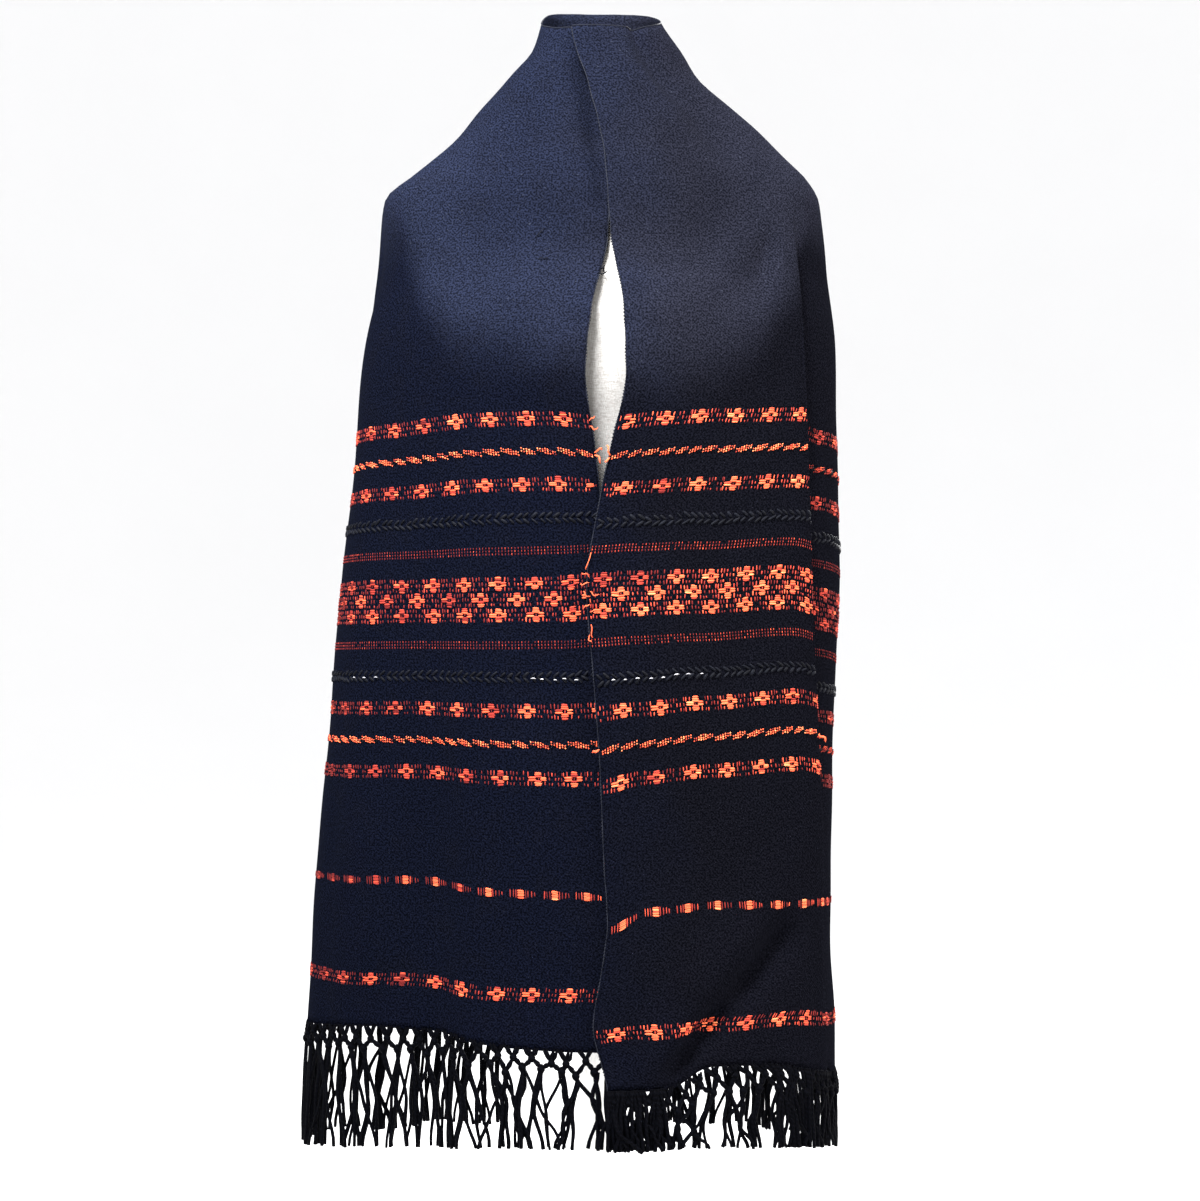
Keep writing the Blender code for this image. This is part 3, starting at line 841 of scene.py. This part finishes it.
CELL = 0.00315           # one column of the brocade's chart
REPEAT = 11              # columns in one repeat of the flowers
SQUARE_REPEAT = 9.9      # and of the squares
UPRIGHT_LIFT, LYING_LIFT, LYING_WIDTH = 0.0006, 0.0011, 0.00185
# One repeat of the flower band, drawn with runs in columns: from, to, and the heights in
# millimetres above the band's level. Upright stitches first, then lying ones.
Upright = namedtuple("Upright", "column low high")
FLOWER_UPRIGHTS = rows(Upright, (
    (0.0, 2.4, 6.6), (0.0, -6.6, -2.2), (1.0, 2.2, 6.4),
    (1.0, -6.4, -3.6), (5.0, 2.4, 6.2), (5.0, -6.2, -2.4),
    (6.15, 2.6, 6.6), (7.05, 2.6, 6.6), (6.15, -6.2, -3.8),
    (7.05, -6.2, -3.8), (8.0, -1.6, 1.8), (9.0, -1.6, 1.8),
    (10.1, 3.0, 6.6), (10.1, -6.4, -3.6), (3.0, -1.0, 1.0),
    (8.05, 3.2, 6.2), (9.05, -6.2, -3.2), (6.4, -1.4, 1.5),
    (10.0, -1.5, 1.4),
))
Lying = namedtuple("Lying", "start end level")
FLOWER_LYINGS = rows(Lying, (
    (2.1, 3.9, 5.9), (2.0, 4.0, 4.2), (1.9, 4.1, 2.5),
    (2.0, 4.0, -2.4), (1.9, 4.1, -4.1), (2.1, 3.9, -5.8),
    (0.1, 2.4, 1.1), (0.1, 2.4, -0.9), (3.7, 5.4, 1.2), (3.7, 5.4, -0.8),
))
SQUARE_UPRIGHTS = rows(Upright, (
    (0.0, -3.6, 3.8), (0.9, -3.4, 3.6), (1.8, -3.8, 3.8),
    (5.0, -3.8, 3.8), (5.9, -3.0, 3.0), (7.0, -2.6, 2.8),
    (8.0, -2.0, 2.2),
))
SQUARE_LYINGS = tuple(Lying(2.4, 4.5, level) for level in (3.2, 1.6, 0.0, -1.6, -3.2))


class Stitches:
    """Many raised yarn stitches, each a low rounded bar between two places on the cloth."""

    STATIONS = np.array([0.0, 0.18, 0.5, 0.82, 1.0])
    ROUND = ((-1.0, 0.0), (-0.55, 0.80), (0.55, 0.80), (1.0, 0.0))

    def __init__(self, half):
        self.half, self.rows = half, []

    def add(self, u0, z0, u1, z1, width, lift, tone=0.0):
        self.rows.append((u0, z0, u1, z1, width, lift, tone))

    def build(self, name):
        rows = np.array(self.rows)
        u0, z0, u1, z1, width, lift, tone = rows.T
        length = np.hypot(u1 - u0, z1 - z0)
        side_u, side_z = (z1 - z0) / length, -(u1 - u0) / length
        t = self.STATIONS[None, :, None]
        swell = np.array([0.45, 0.95, 1.0, 0.95, 0.45])[None, :, None]
        rise = np.array([0.05, 0.85, 1.0, 0.85, 0.05])[None, :, None]
        across = np.array([p[0] for p in self.ROUND])[None, None, :]
        up = np.array([p[1] for p in self.ROUND])[None, None, :]
        half_width = 0.5 * width[:, None, None] * swell * across
        u = u0[:, None, None] + (u1 - u0)[:, None, None] * t + side_u[:, None, None] * half_width
        z = z0[:, None, None] + (z1 - z0)[:, None, None] * t + side_z[:, None, None] * half_width
        out = lift[:, None, None] * rise * up + 0.00012
        points = self.half.place_with_normal(u, z, out)
        stations, lanes = len(self.STATIONS), len(self.ROUND)
        count = len(rows)
        base = np.arange(stations * lanes).reshape(stations, lanes)
        a, b, c, d = base[:-1, :-1], base[:-1, 1:], base[1:, 1:], base[1:, :-1]
        order = [a, b, c, d] if self.half.side == "left" else [a, d, c, b]
        quads = np.stack(order, axis=-1).reshape(-1, 4)
        faces = (quads[None] + (np.arange(count) * stations * lanes)[:, None, None]).reshape(-1, 4)
        mesh = Mesh()
        uvs = np.stack([u + (np.round(tone) + 0.3)[:, None, None] * TONE_STEP, z], axis=-1)
        mesh.add(points.reshape(-1, 3), faces, uvs.reshape(-1, 2))
        return mesh.build(name)


def end_width(half, z):
    """Length of the weft thread at this level, out to the outer selvage or the seam behind."""
    column = half.outer if z < JOIN_Z - 0.02 else half.outer - 0.5
    return float(half.u_at(np.array([column]), np.array([z]))[0])


def shadow(half, u):
    """How much darker the yarn is made by painted shade: behind the right end's fold and on the
    left end's outer side.
    """
    if half.side == "left":
        return 0.9 * float(ease((u - 0.27) / 0.03))
    return 1.9 * float(ease((u - 0.225) / 0.03)) * float(1.0 - 0.6 * ease((u - 0.36) / 0.06))


def motif_tone(random, half, u, kind):
    """How bright a motif is: duller on the left end and towards its outer side, less the painted
    shade from shadow().
    """
    dull = 0.30 + 0.9 * float(ease((u - 0.13) / 0.12)) if half.side == "left" else 0.22
    if kind == "row":
        dull *= 0.75
    # painted shade: darker behind the right end's fold and on the left end's outer side
    side = shadow(half, u)
    base = 1.5 if random.random() < dull * 0.5 else (2.9 if half.side == "right" else 2.4)
    return base - 0.6 * min(dull, 1.0) - side


def flowers(coral, half, random, level, shift, kind, width):
    """One row of the brocade's chart, repeated along the weft."""
    rows = {"squares": (SQUARE_UPRIGHTS, SQUARE_LYINGS)}
    uprights, lyings = rows.get(kind, (FLOWER_UPRIGHTS, FLOWER_LYINGS))
    cell = CELL * (SQUARE_REPEAT / REPEAT if kind == "squares" else 1.0)
    repeat = REPEAT * cell
    mirrored = half.side == "left"
    for k in range(-1, int(width / repeat) + 1):
        start = shift + k * repeat + random.normal(0, 0.0005)
        grow = 1.0 + random.normal(0, 0.05)
        bright = motif_tone(random, half, start + 0.5 * repeat, kind)
        for stitch in uprights:
            u = start + (repeat - stitch.column * cell if mirrored else stitch.column * cell)
            u += random.normal(0, 0.0002)
            low = level + stitch.low * 0.001 * grow + random.normal(0, 0.0003)
            high = level + stitch.high * 0.001 * grow + random.normal(0, 0.0003)
            if 0.001 < u < width - 0.002 and random.random() < 0.96:
                beside = 0.9 if stitch.column <= 1.0 or stitch.column == 5.0 else 0.0
                coral.add(u, low, u + random.normal(0, 0.00025), high,
                          (0.00115 if kind == "row" else 0.00095) + random.normal(0, 0.0001),
                          UPRIGHT_LIFT, bright - 2.2 + beside + random.normal(0, 0.5))
        for stitch in lyings:
            ends = [start + (repeat - c * cell if mirrored else c * cell)
                    for c in (stitch.start, stitch.end)]
            if 0.001 < min(ends) and max(ends) < width - 0.002:
                z = level + stitch.level * 0.001 * grow
                arm = 1.0 if abs(stitch.level) < 1.5 or kind == "squares" else 0.0
                coral.add(ends[0], z + random.normal(0, 0.0003), ends[1],
                          z + random.normal(0, 0.0003), LYING_WIDTH, LYING_LIFT,
                          bright + arm * 0.75 - 0.3 + random.normal(0, 0.5))


LADDER_PITCH, LADDER_GAP = 0.0031, 0.0028


def ladder(coral, half, random, level, width):
    """Three close rows of tiny dashes."""
    bright = 0.1 if half.side == "left" else 0.7
    for k in range(int(width / LADDER_PITCH)):
        u = 0.0015 + k * LADDER_PITCH
        for row in (-LADDER_GAP, 0.0, LADDER_GAP):
            if random.random() < 0.95:
                # painted shade from shadow() darkens the dashes behind the right end's fold
                coral.add(u, level + row - 0.0009, u, level + row + 0.0009, 0.00068, 0.0004,
                          bright - 0.5 * shadow(half, u) + random.normal(0, 0.5))


def chain(coral, black, half, random, level, width):
    """Twisted chain: slanting lenses of small beads, with a black ply between."""
    start = 0.002
    while start < width - 0.004:
        long = float(np.clip(random.normal(0.0165, 0.0024), 0.011, 0.021))
        count = int(long / 0.00225)
        for j in range(count):
            place = (j + 0.5) / count
            tall = math.sin(math.pi * place) ** 0.7
            u = start + place * long
            if u > width - 0.002:
                break
            rise = (place - 0.5) * 0.0042
            for row in ((-1, 1) if tall < 0.88 else (-1, 0, 1)):
                step = 0.00100 if tall < 0.88 else 0.0019
                z = level + rise + row * step + random.normal(0, 0.00018)
                # painted shade from shadow() darkens the beads behind the right end's fold
                coral.add(u - 0.0003, z - 0.00074, u + 0.0004, z + 0.00074, 0.00120,
                          0.0008 + 0.0010 * tall * (1.0 if row == 0 else 0.6),
                          2.8 + 0.5 * (row == 0) - shadow(half, u) + random.normal(0, 0.9))
        gap = start + long
        for shift in (-0.0026, 0.0006):
            black.add(gap + shift - 0.0024, level + 0.0030, gap + shift + 0.0022,
                      level - 0.0028, 0.0013, 0.0013)
        start += long + 0.0006


BRAID_PITCH = 0.0072


def braid(black, random, level, width):
    """Black chevron braid: thick slanting stitches in two rows that meet at its middle."""
    for k in range(int(width / BRAID_PITCH)):
        u = 0.002 + k * BRAID_PITCH + random.normal(0, 0.0004)
        for way in (1, -1):
            sway = random.normal(0, 0.0007)
            lean = 0.0062 + random.normal(0, 0.0008)
            black.add(u, level + way * 0.0050 + sway, u + lean, level + way * 0.0003 + 0.5 * sway,
                      0.0025 + random.normal(0, 0.0003), 0.0017)


def brocade(half, seed):
    """Coral brocade, ladders and chains of one end, and the black braids apart."""
    random = np.random.default_rng(seed)
    coral, black = Stitches(half), Stitches(half)
    for band in BANDS:
        level = getattr(band, half.side)
        width = min(end_width(half, level), 0.66)
        if band.kind in ("flowers", "row", "squares"):
            flowers(coral, half, random, level, band.shift, band.kind, width)
        elif band.kind == "ladder":
            ladder(coral, half, random, level, width)
        elif band.kind == "chain":
            chain(coral, black, half, random, level, width)
        else:
            braid(black, random, level, width)
    return coral, black


# ---------------------------------------------------------------- selvages, fringe and threads


def selvage(half):
    """The inner selvage: a thin cord with the small loops of the turning weft."""
    mesh = Mesh()
    hem = float(read(HEMS, half.side, 0.0, key="x"))
    z = np.arange(hem + 0.001, RIM_FRONT - 0.001, 0.00085)
    beads = 0.5 + 0.5 * np.sin(2 * math.pi * z / 0.0031 + 2.0 * np.sin(40.0 * z))
    beads = beads ** 2 * (0.6 + 0.4 * np.sin(170.0 * z))
    path = half.at_column(0, z)
    path[:, 1] += CLOTH_WALL * 0.5
    path[:, 0] -= half.sign * (0.0001 + 0.0005 * beads)
    mesh.tube(path, 0.00045 + 0.00060 * beads, 5)
    columns = np.linspace(0.0, half.last, 420)
    rim = np.interp(columns, np.arange(half.last + 1), rim_height(half))
    around = half.at_column(columns, rim - 0.0004)
    beads = 0.5 + 0.5 * np.sin(np.arange(420) * 1.9)
    mesh.tube(around, 0.00050 + 0.00020 * beads, 6)
    outer_selvage(half, mesh)
    return mesh


def outer_selvage(half, mesh):
    """The cord of the outer selvage behind, which is also the edge of the arch between the ends."""
    edge = half.at_column(half.outer, np.array([JOIN_Z]))[0]
    hem = float(read(HEMS, half.side, abs(edge[0]), key="x"))
    z = np.arange(hem + 0.001, 1.140, 0.0016)
    level = half.level_of(z)
    facing = bend(half.normals(), half.last + 1, level, np.full(len(z), float(half.outer)))
    path = half.at_column(half.outer, z) + 0.0003 * facing
    thin = 1.0 - 0.7 * ease((z - 1.0) / 0.14)
    mesh.tube(path, (0.0010 + 0.0003 * np.sin(z * 2300.0)) * thin, 5)
    columns = np.linspace(half.outer, half.last, 60)
    mesh.tube(half.at_column(columns, arch_height(half, columns)), 0.0010, 5)


def knot(mesh, centre, size, sides=7):
    """A small round knot with a wrapped waist."""
    t = np.linspace(-1.0, 1.0, 6)
    path = centre[None] + np.stack([0 * t, 0 * t, -t * size * 1.15], axis=1)
    mesh.tube(path, size * np.sqrt(np.maximum(1.0 - (0.93 * t) ** 2, 0.05))
              * (1 + 0.12 * np.cos(7 * t)), sides, round_ends=False)


class Fringe:
    """Knotted fringe of one end: a net two knots deep, then clumping strands."""

    PITCH = 0.0172                      # between two knots of a row
    UPPER_DROP, LOWER_DROP = 0.0090, 0.0190     # of the rows of knots below the hem

    def __init__(self, half, seed):
        self.half, self.random, self.mesh = half, np.random.default_rng(seed), Mesh()
        self.width = end_width(half, 0.5)

    def spot(self, u, z, out=0.0):
        """A place below the hem, at a distance u from the inner selvage."""
        half = self.half
        level = half.level_of(np.array([z]))
        reach = np.array([np.clip(u, 0.0005, self.width - 0.0005) / half.U_STEP])
        column = bend(half.column_of_u, half.column_of_u.shape[1], level, reach)
        point = half.at_column(column, np.array([z]))[0]
        return point + np.array([0.0, -out, 0.0])

    def hem(self, u):
        x = abs(float(self.spot(u, 0.47)[0]))
        return float(read(HEMS, self.half.side, x, key="x"))

    def jitter(self, size, count=3):
        return self.random.normal(0, size, count)

    def net(self):
        """Two staggered rows of knots, tied by thick cords; returns the lower knots."""
        count = int(self.width / self.PITCH)
        upper, lower = [], []
        for k in range(count + 1):
            u = min(0.004 + k * self.PITCH + self.random.normal(0, 0.0016), self.width - 0.003)
            upper.append((u, self.hem(u) - self.UPPER_DROP + self.random.normal(0, 0.0016)))
        for k in range(count):
            u = 0.5 * (upper[k][0] + upper[k + 1][0]) + self.random.normal(0, 0.0018)
            lower.append((u, self.hem(u) - self.LOWER_DROP + self.random.normal(0, 0.0026)))
        for k, (u, z) in enumerate(upper):
            centre = self.spot(u, z)
            for away in (-0.0068, -0.0040, 0.0036, 0.0070):
                top = self.spot(u + away, self.hem(u + away) + 0.0020)
                self.mesh.tube(np.array([top, 0.5 * (top + centre) + self.jitter(0.0006), centre]),
                               0.0021, 5)
            knot(self.mesh, centre, 0.0036)
            for near in (k - 1, k):
                if 0 <= near < len(lower):
                    below = self.spot(*lower[near])
                    bow = 0.5 * (centre + below) + self.jitter(0.0008)
                    self.mesh.tube(np.array([centre, bow, below]), 0.0026, 6)
        for k, (u, z) in enumerate(lower):
            knot(self.mesh, self.spot(u, z), 0.0039)
        return [upper[0]] + lower + [upper[-1]]

    def strand(self, start, gather, end, out, thick):
        """One strand from (u, z) by way of its clump to its cut end."""
        t = np.linspace(0.0, 1.0, 13)
        pull = ease(t / 0.55)
        u = start[0] + (gather - start[0]) * pull + (end - gather) * ease((t - 0.5) / 0.5)
        u = u + self.random.normal(0, 0.0018) * np.sin(math.pi * t)
        u = u + self.random.normal(0, 0.0014) * np.sin(3 * math.pi * t + self.random.random() * 6)
        cut = self.cut(end)
        z = start[1] + (cut - start[1]) * t
        off = out * np.sin(math.pi * np.minimum(t * 1.2, 1.0) / 2)
        path = np.array([self.spot(a, b, c) for a, b, c in zip(u, z, off)])
        radius = thick * (1.0 + 0.10 * np.sin(9.0 * t + self.random.random() * 6))
        self.mesh.tube(path, radius, 6, round_ends=False)

    def cut(self, u):
        """Height of the cut ends: lower at the sides, where they hang farther back."""
        y = float(self.spot(u, 0.40)[1])
        away = float(np.clip((y + 0.13) / 0.13, 0.0, 1.0))
        low = FRINGE_FRONT_Z + (FRINGE_SIDE_Z - FRINGE_FRONT_Z) * away
        return low + abs(self.random.normal(0, 0.0008))

    def build(self, name):
        knots = self.net()
        clumps, u = [], 0.003
        while u < self.width:
            clumps.append(u)
            u += float(np.clip(self.random.normal(0.0165, 0.0050), 0.008, 0.028))
        clumps = np.array(clumps)
        for k, start in enumerate(knots):
            dense = self.dense(start[0])
            for _ in range(2 * dense):
                top = start[0] + self.random.normal(0, 0.0050)
                end = top + self.random.normal(0, 0.0060)
                self.strand((top, self.hem(top) + 0.002), 0.5 * (top + end), end,
                            self.random.normal(0, 0.0035), 0.0019)
            for _ in range(3 + (self.random.random() < 0.35) + dense):
                order = np.argsort(np.abs(clumps - start[0] - self.random.normal(0, 0.0055)))
                loose = 1.0 + 0.9 * (dense > 2)
                gather = clumps[order[0]] + self.random.normal(0, 0.0024) * loose
                end = gather + self.random.normal(0, 0.0055) * loose
                self.strand(start, gather, end, self.random.normal(0, 0.0024) * loose,
                            float(np.clip(self.random.normal(0.00170, 0.00018), 0.0012, 0.0022)))
            if self.random.random() < 0.26:
                way = self.random.choice([-1, 1])
                far = start[0] + way * (0.022 + 0.016 * self.random.random())
                self.strand(start, 0.55 * start[0] + 0.45 * far, far, 0.004, 0.0016)
        return self.mesh.build(name)

    def dense(self, u):
        """Extra strands to a knot at the corners, where the fringe is bunched."""
        if self.half.side == "right":
            return 5 if u < 0.066 else (2 if 0.150 < u < 0.25 else 0)
        return 0


WISP_TONE = 3
Wisp = namedtuple("Wisp", "side u z du dz lift radius")
# Pulled and loose ends: where each starts, how far it runs, and how far it stands off
CORAL_WISPS = rows(Wisp, (
    ("right", 0.002, 0.914, -0.006, 0.006, 0.004, 0.0005),
    ("right", 0.002, 0.909, -0.008, -0.001, 0.004, 0.0005),
    ("right", 0.003, 0.901, 0.007, -0.005, 0.004, 0.0005),
    ("right", 0.003, 0.896, -0.008, 0.003, 0.004, 0.0005),
    ("right", 0.002, 0.889, -0.006, -0.004, 0.004, 0.0005),
    ("right", 0.002, 0.882, 0.008, 0.002, 0.003, 0.0005),
    ("right", 0.001, 0.938, -0.004, -0.014, 0.001, 0.0004),
    ("right", 0.002, 0.871, 0.002, -0.012, 0.002, 0.0005),
    ("right", 0.001, 0.855, -0.003, 0.005, 0.002, 0.0005),
    ("right", 0.001, 1.03, -0.006, -0.007, 0.004, 0.0008),
    ("right", 0.001, 1.032, -0.004, 0.008, 0.005, 0.0008),
    ("left", 0.001, 1.027, -0.008, 0.004, 0.004, 0.0008),
    ("left", 0.001, 1.025, -0.007, -0.006, 0.004, 0.0008),
    ("left", 0.002, 1.057, -0.006, 0.005, 0.003, 0.0006),
    ("left", 0.002, 1.052, -0.007, -0.003, 0.003, 0.0006),
    ("left", 0.0, 0.615, -0.006, 0.004, 0.003, 0.0006),
    ("right", 0.0, 0.762, -0.007, -0.004, 0.004, 0.0011),
    ("right", 0.235, 0.762, 0.008, -0.006, 0.004, 0.0011),
))
BLACK_WISPS = rows(Wisp, (
    ("left", 0.001, 1.204, -0.006, -0.004, 0.003, 0.0007),
    ("left", 0.001, 1.201, -0.005, 0.004, 0.003, 0.0007),
    ("left", 0.001, 1.198, -0.007, -0.001, 0.002, 0.0007),
    ("left", 0.06, 1.243, 0.01, -0.012, 0.002, 0.0004),
    ("left", 0.052, 1.214, 0.012, -0.004, 0.002, 0.0004),
))


def wisps(rows, name):
    mesh = Mesh()
    for k, wisp in enumerate(rows):
        half = LEFT if wisp.side == "left" else RIGHT
        t = np.linspace(0.0, 1.0, 8)
        start = half.place(np.array([wisp.u]), np.array([wisp.z]))[0]
        curl = 0.0024 * np.sin(5.5 * t + k) * t
        path = start + np.stack([
            half.sign * (wisp.du * t) + curl * 0.6,
            -0.0008 - wisp.lift * np.sin(math.pi * t * 0.8),
            wisp.dz * t + curl], axis=1)
        mesh.tube(path, wisp.radius, 5)
        mesh.uvs[-1][:, 0] += WISP_TONE * TONE_STEP
    return mesh.build(name)


# Painted light through the lower black braid's holes: by side, the braid's level, where along it
# the flecks run and how many.
Glint = namedtuple("Glint", "side band_z start end count")
GLINTS = (Glint("left", 0.815, 0.028, 0.068, 5), Glint("left", 0.8155, 0.235, 0.262, 3),
          Glint("right", 0.8205, 0.016, 0.1, 8))


def glints():
    """Painted light: small white flecks in the lower black braid, where light shows through its
    openwork holes.
    """
    mesh = Mesh()
    random = np.random.default_rng(5)
    for glint in GLINTS:
        half = LEFT if glint.side == "left" else RIGHT
        for u in np.linspace(glint.start, glint.end, glint.count):
            u = u + random.normal(0, 0.001)
            z = glint.band_z + random.normal(0, 0.0006)
            t = np.linspace(0.0, 1.0, 4)
            long = 0.0028 + random.random() * 0.0022
            path = half.place_with_normal(u + long * t, z + 0.0004 * np.sin(3 * t),
                                          0.0022 + 0 * t)
            mesh.tube(path, 0.00055, 5)
    return mesh.build("painted_light_flecks")


# ---------------------------------------------------------------- dress form

Ring = namedtuple("Ring", "z half_width front back")
TORSO = rows(Ring, (
    (0.7405, 0.128, 0.064, 0.066),
    (0.7415, 0.146, 0.08, 0.082),
    (0.752, 0.158, 0.092, 0.094),
    (0.8, 0.17, 0.101, 0.101),
    (0.86, 0.172, 0.104, 0.103),
    (0.93, 0.152, 0.098, 0.09),
    (0.985, 0.133, 0.093, 0.08),
    (1.05, 0.138, 0.1, 0.083),
    (1.11, 0.149, 0.112, 0.088),
    (1.16, 0.156, 0.114, 0.092),
    (1.2, 0.164, 0.108, 0.094),
    (1.235, 0.178, 0.096, 0.091),
    (1.262, 0.19, 0.085, 0.086),
    (1.285, 0.188, 0.076, 0.08),
    (1.302, 0.168, 0.07, 0.074),
    (1.32, 0.132, 0.062, 0.067),
    (1.338, 0.094, 0.055, 0.06),
    (1.358, 0.066, 0.051, 0.054),
    (1.385, 0.053, 0.049, 0.05),
    (1.432, 0.049, 0.046, 0.046),
    (1.4395, 0.044, 0.041, 0.041),
))


def torso():
    """The linen-covered form: smooth rings, a centre seam and a neck cap."""
    mesh = Mesh()
    sides = 96
    z = np.concatenate([np.linspace(TORSO[0].z, 0.760, 8), np.linspace(0.768, 1.425, 88),
                        np.linspace(1.43, TORSO[-1].z, 6)])
    angle = np.arange(sides) * 2 * math.pi / sides
    width = read(TORSO, "half_width", z)[:, None]
    depth = np.where(np.sin(angle)[None, :] < 0, read(TORSO, "front", z)[:, None],
                     read(TORSO, "back", z)[:, None])
    seam = 0.0007 * np.exp(-0.5 * ((np.cos(angle)[None, :]) / 0.018) ** 2)
    points = np.stack([(width - seam) * np.cos(angle)[None, :],
                       (depth - seam) * np.sin(angle)[None, :],
                       z[:, None] + 0 * angle[None, :]], axis=-1)
    mesh.grid(points, closed=True)
    last = (len(z) - 1) * sides
    mesh.caps = [list(range(sides))[::-1], list(range(last, last + sides))]
    return mesh.build("linen_torso")


# ---------------------------------------------------------------- put it together


def ride_as(piece, look, slot, *nodes):
    piece.data.materials.append(look)
    if nodes:
        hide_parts(*nodes)
    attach(piece, "root")
    return piece


def main():
    woven, strands, linen, enamel = woven_look(), strand_look(), linen_look(), enamel_look()
    coral_yarn = coral_look()
    black_yarn = yarn_look("black_yarn", (0.0007, 0.0008, 0.0015, 1), (0.0040, 0.0048, 0.0085, 1))
    edge_yarn = yarn_look("selvage_yarn", (0.0030, 0.0036, 0.0062, 1), (0.0125, 0.0140, 0.0205, 1))
    # painted light: white yarn for the flecks of light through the lower braid's holes
    painted_light_yarn = yarn_look("painted_light_yarn", (0.16, 0.16, 0.18, 1), (0.52, 0.52, 0.53, 1))
    form = ride_as(torso(), linen, "form_linen", "form_torso")
    sheet = ride_as(cloth(), woven, "shawl_cloth",
                    "shawl_fall_left", "shawl_fall_right", "shawl_back")
    for half, seed in ((LEFT, 11), (RIGHT, 23)):
        coral, black = brocade(half, seed)
        ride_as(coral.build("brocade_" + half.side), coral_yarn, "brocade_yarn")
        ride_as(black.build("braids_" + half.side), black_yarn, "fringe_yarn")
        edge = selvage(half).build("selvage_" + half.side)
        ride_as(edge, edge_yarn, "shawl_cloth")
        ends = Fringe(half, seed + 1).build("fringe_strands_" + half.side)
        ride_as(ends, strands, "fringe_yarn", "fringe_" + half.side)
    ride_as(wisps(CORAL_WISPS, "loose_coral_ends"), coral_yarn, "brocade_yarn")
    ride_as(wisps(BLACK_WISPS, "loose_black_ends"), black_yarn, "fringe_yarn")
    ride_as(glints(), painted_light_yarn, "brocade_yarn")
    for name in ("stand_pole", "stand_base"):
        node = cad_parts[name]
        node.data.materials.clear()
        node.data.materials.append(enamel)


# ---------------------------------------------------------------- studio

EYE_HEIGHT, EYE_DISTANCE, EYE_X = 0.824, 1.9, 0.003
PICTURE_HEIGHT = 1.201        # metres that the picture's height covers at the form's middle
PICTURE_CENTRE_Z = 0.8935


Lamp = namedtuple("Lamp", "name place aim size power colour")
LAMPS = rows(Lamp, (
    ("key", (-0.55, -1.15, 2.55), (-0.02, -0.05, 1.2), 0.7, 70.0, (0.95, 0.97, 1.0)),
    ("side", (2.6, -0.9, 2.2), (0.1, 0.0, 1.15), 1.2, 54.0, (1.0, 0.93, 0.86)),
    ("back", (1.3, 1.9, 2.3), (0.0, 0.0, 1.1), 1.2, 60.0, (1.0, 1.0, 1.0)),
))


def studio():
    """A pale floor under an even white sky, three soft lights and the camera."""
    bpy.context.scene.view_settings.view_transform = "Standard"
    mesh = Mesh()
    angle = np.arange(72) * 2 * math.pi / 72
    turn = np.linspace(0.0, math.pi / 2, 16)[1:]
    radius = np.concatenate([[0.02, 0.5, 1.0, 2.0, 4.0, 6.0], 6.0 + 6.0 * np.sin(turn)])
    height = np.concatenate([np.zeros(6), 6.0 - 6.0 * np.cos(turn)])
    points = np.stack([radius[:, None] * np.cos(angle), radius[:, None] * np.sin(angle),
                       height[:, None] + 0 * angle], axis=-1)
    mesh.grid(points, closed=True)
    mesh.caps = [list(range(72))[::-1]]
    floor = mesh.build("studio_floor")
    look = Look("studio_white")
    tone = look.noise(look.place(), 1.2, 2.0, 0.5)
    floor.data.materials.append(look.finish(
        look.mix(tone, (0.93, 0.93, 0.93, 1), (0.95, 0.95, 0.95, 1)), None, 0.9))

    world = bpy.data.worlds.new("studio_air")
    bpy.context.scene.world = world
    world.use_nodes = True
    world.node_tree.nodes["Background"].inputs["Color"].default_value = (0.99, 0.99, 1.0, 1)
    world.node_tree.nodes["Background"].inputs["Strength"].default_value = 1.05

    for lamp in LAMPS:
        data = bpy.data.lights.new(lamp.name, "AREA")
        data.size, data.energy, data.color = lamp.size, lamp.power, lamp.colour
        data.spread = math.radians(100)
        light = bpy.data.objects.new(lamp.name, data)
        light.location = lamp.place
        towards = Vector(lamp.aim) - Vector(lamp.place)
        light.rotation_euler = towards.to_track_quat("-Z", "Y").to_euler()
        bpy.context.scene.collection.objects.link(light)

    data = bpy.data.cameras.new("camera")
    data.sensor_fit = "VERTICAL"
    data.sensor_height = 24.0
    data.lens = 24.0 * EYE_DISTANCE / PICTURE_HEIGHT
    camera = bpy.data.objects.new("camera", data)
    camera.location = (EYE_X, -EYE_DISTANCE, EYE_HEIGHT)
    camera.rotation_euler = (math.pi / 2, 0.0, 0.0)
    data.shift_y = (PICTURE_CENTRE_Z - EYE_HEIGHT) / PICTURE_HEIGHT
    bpy.context.scene.collection.objects.link(camera)
    bpy.context.scene.camera = camera


main()
studio()
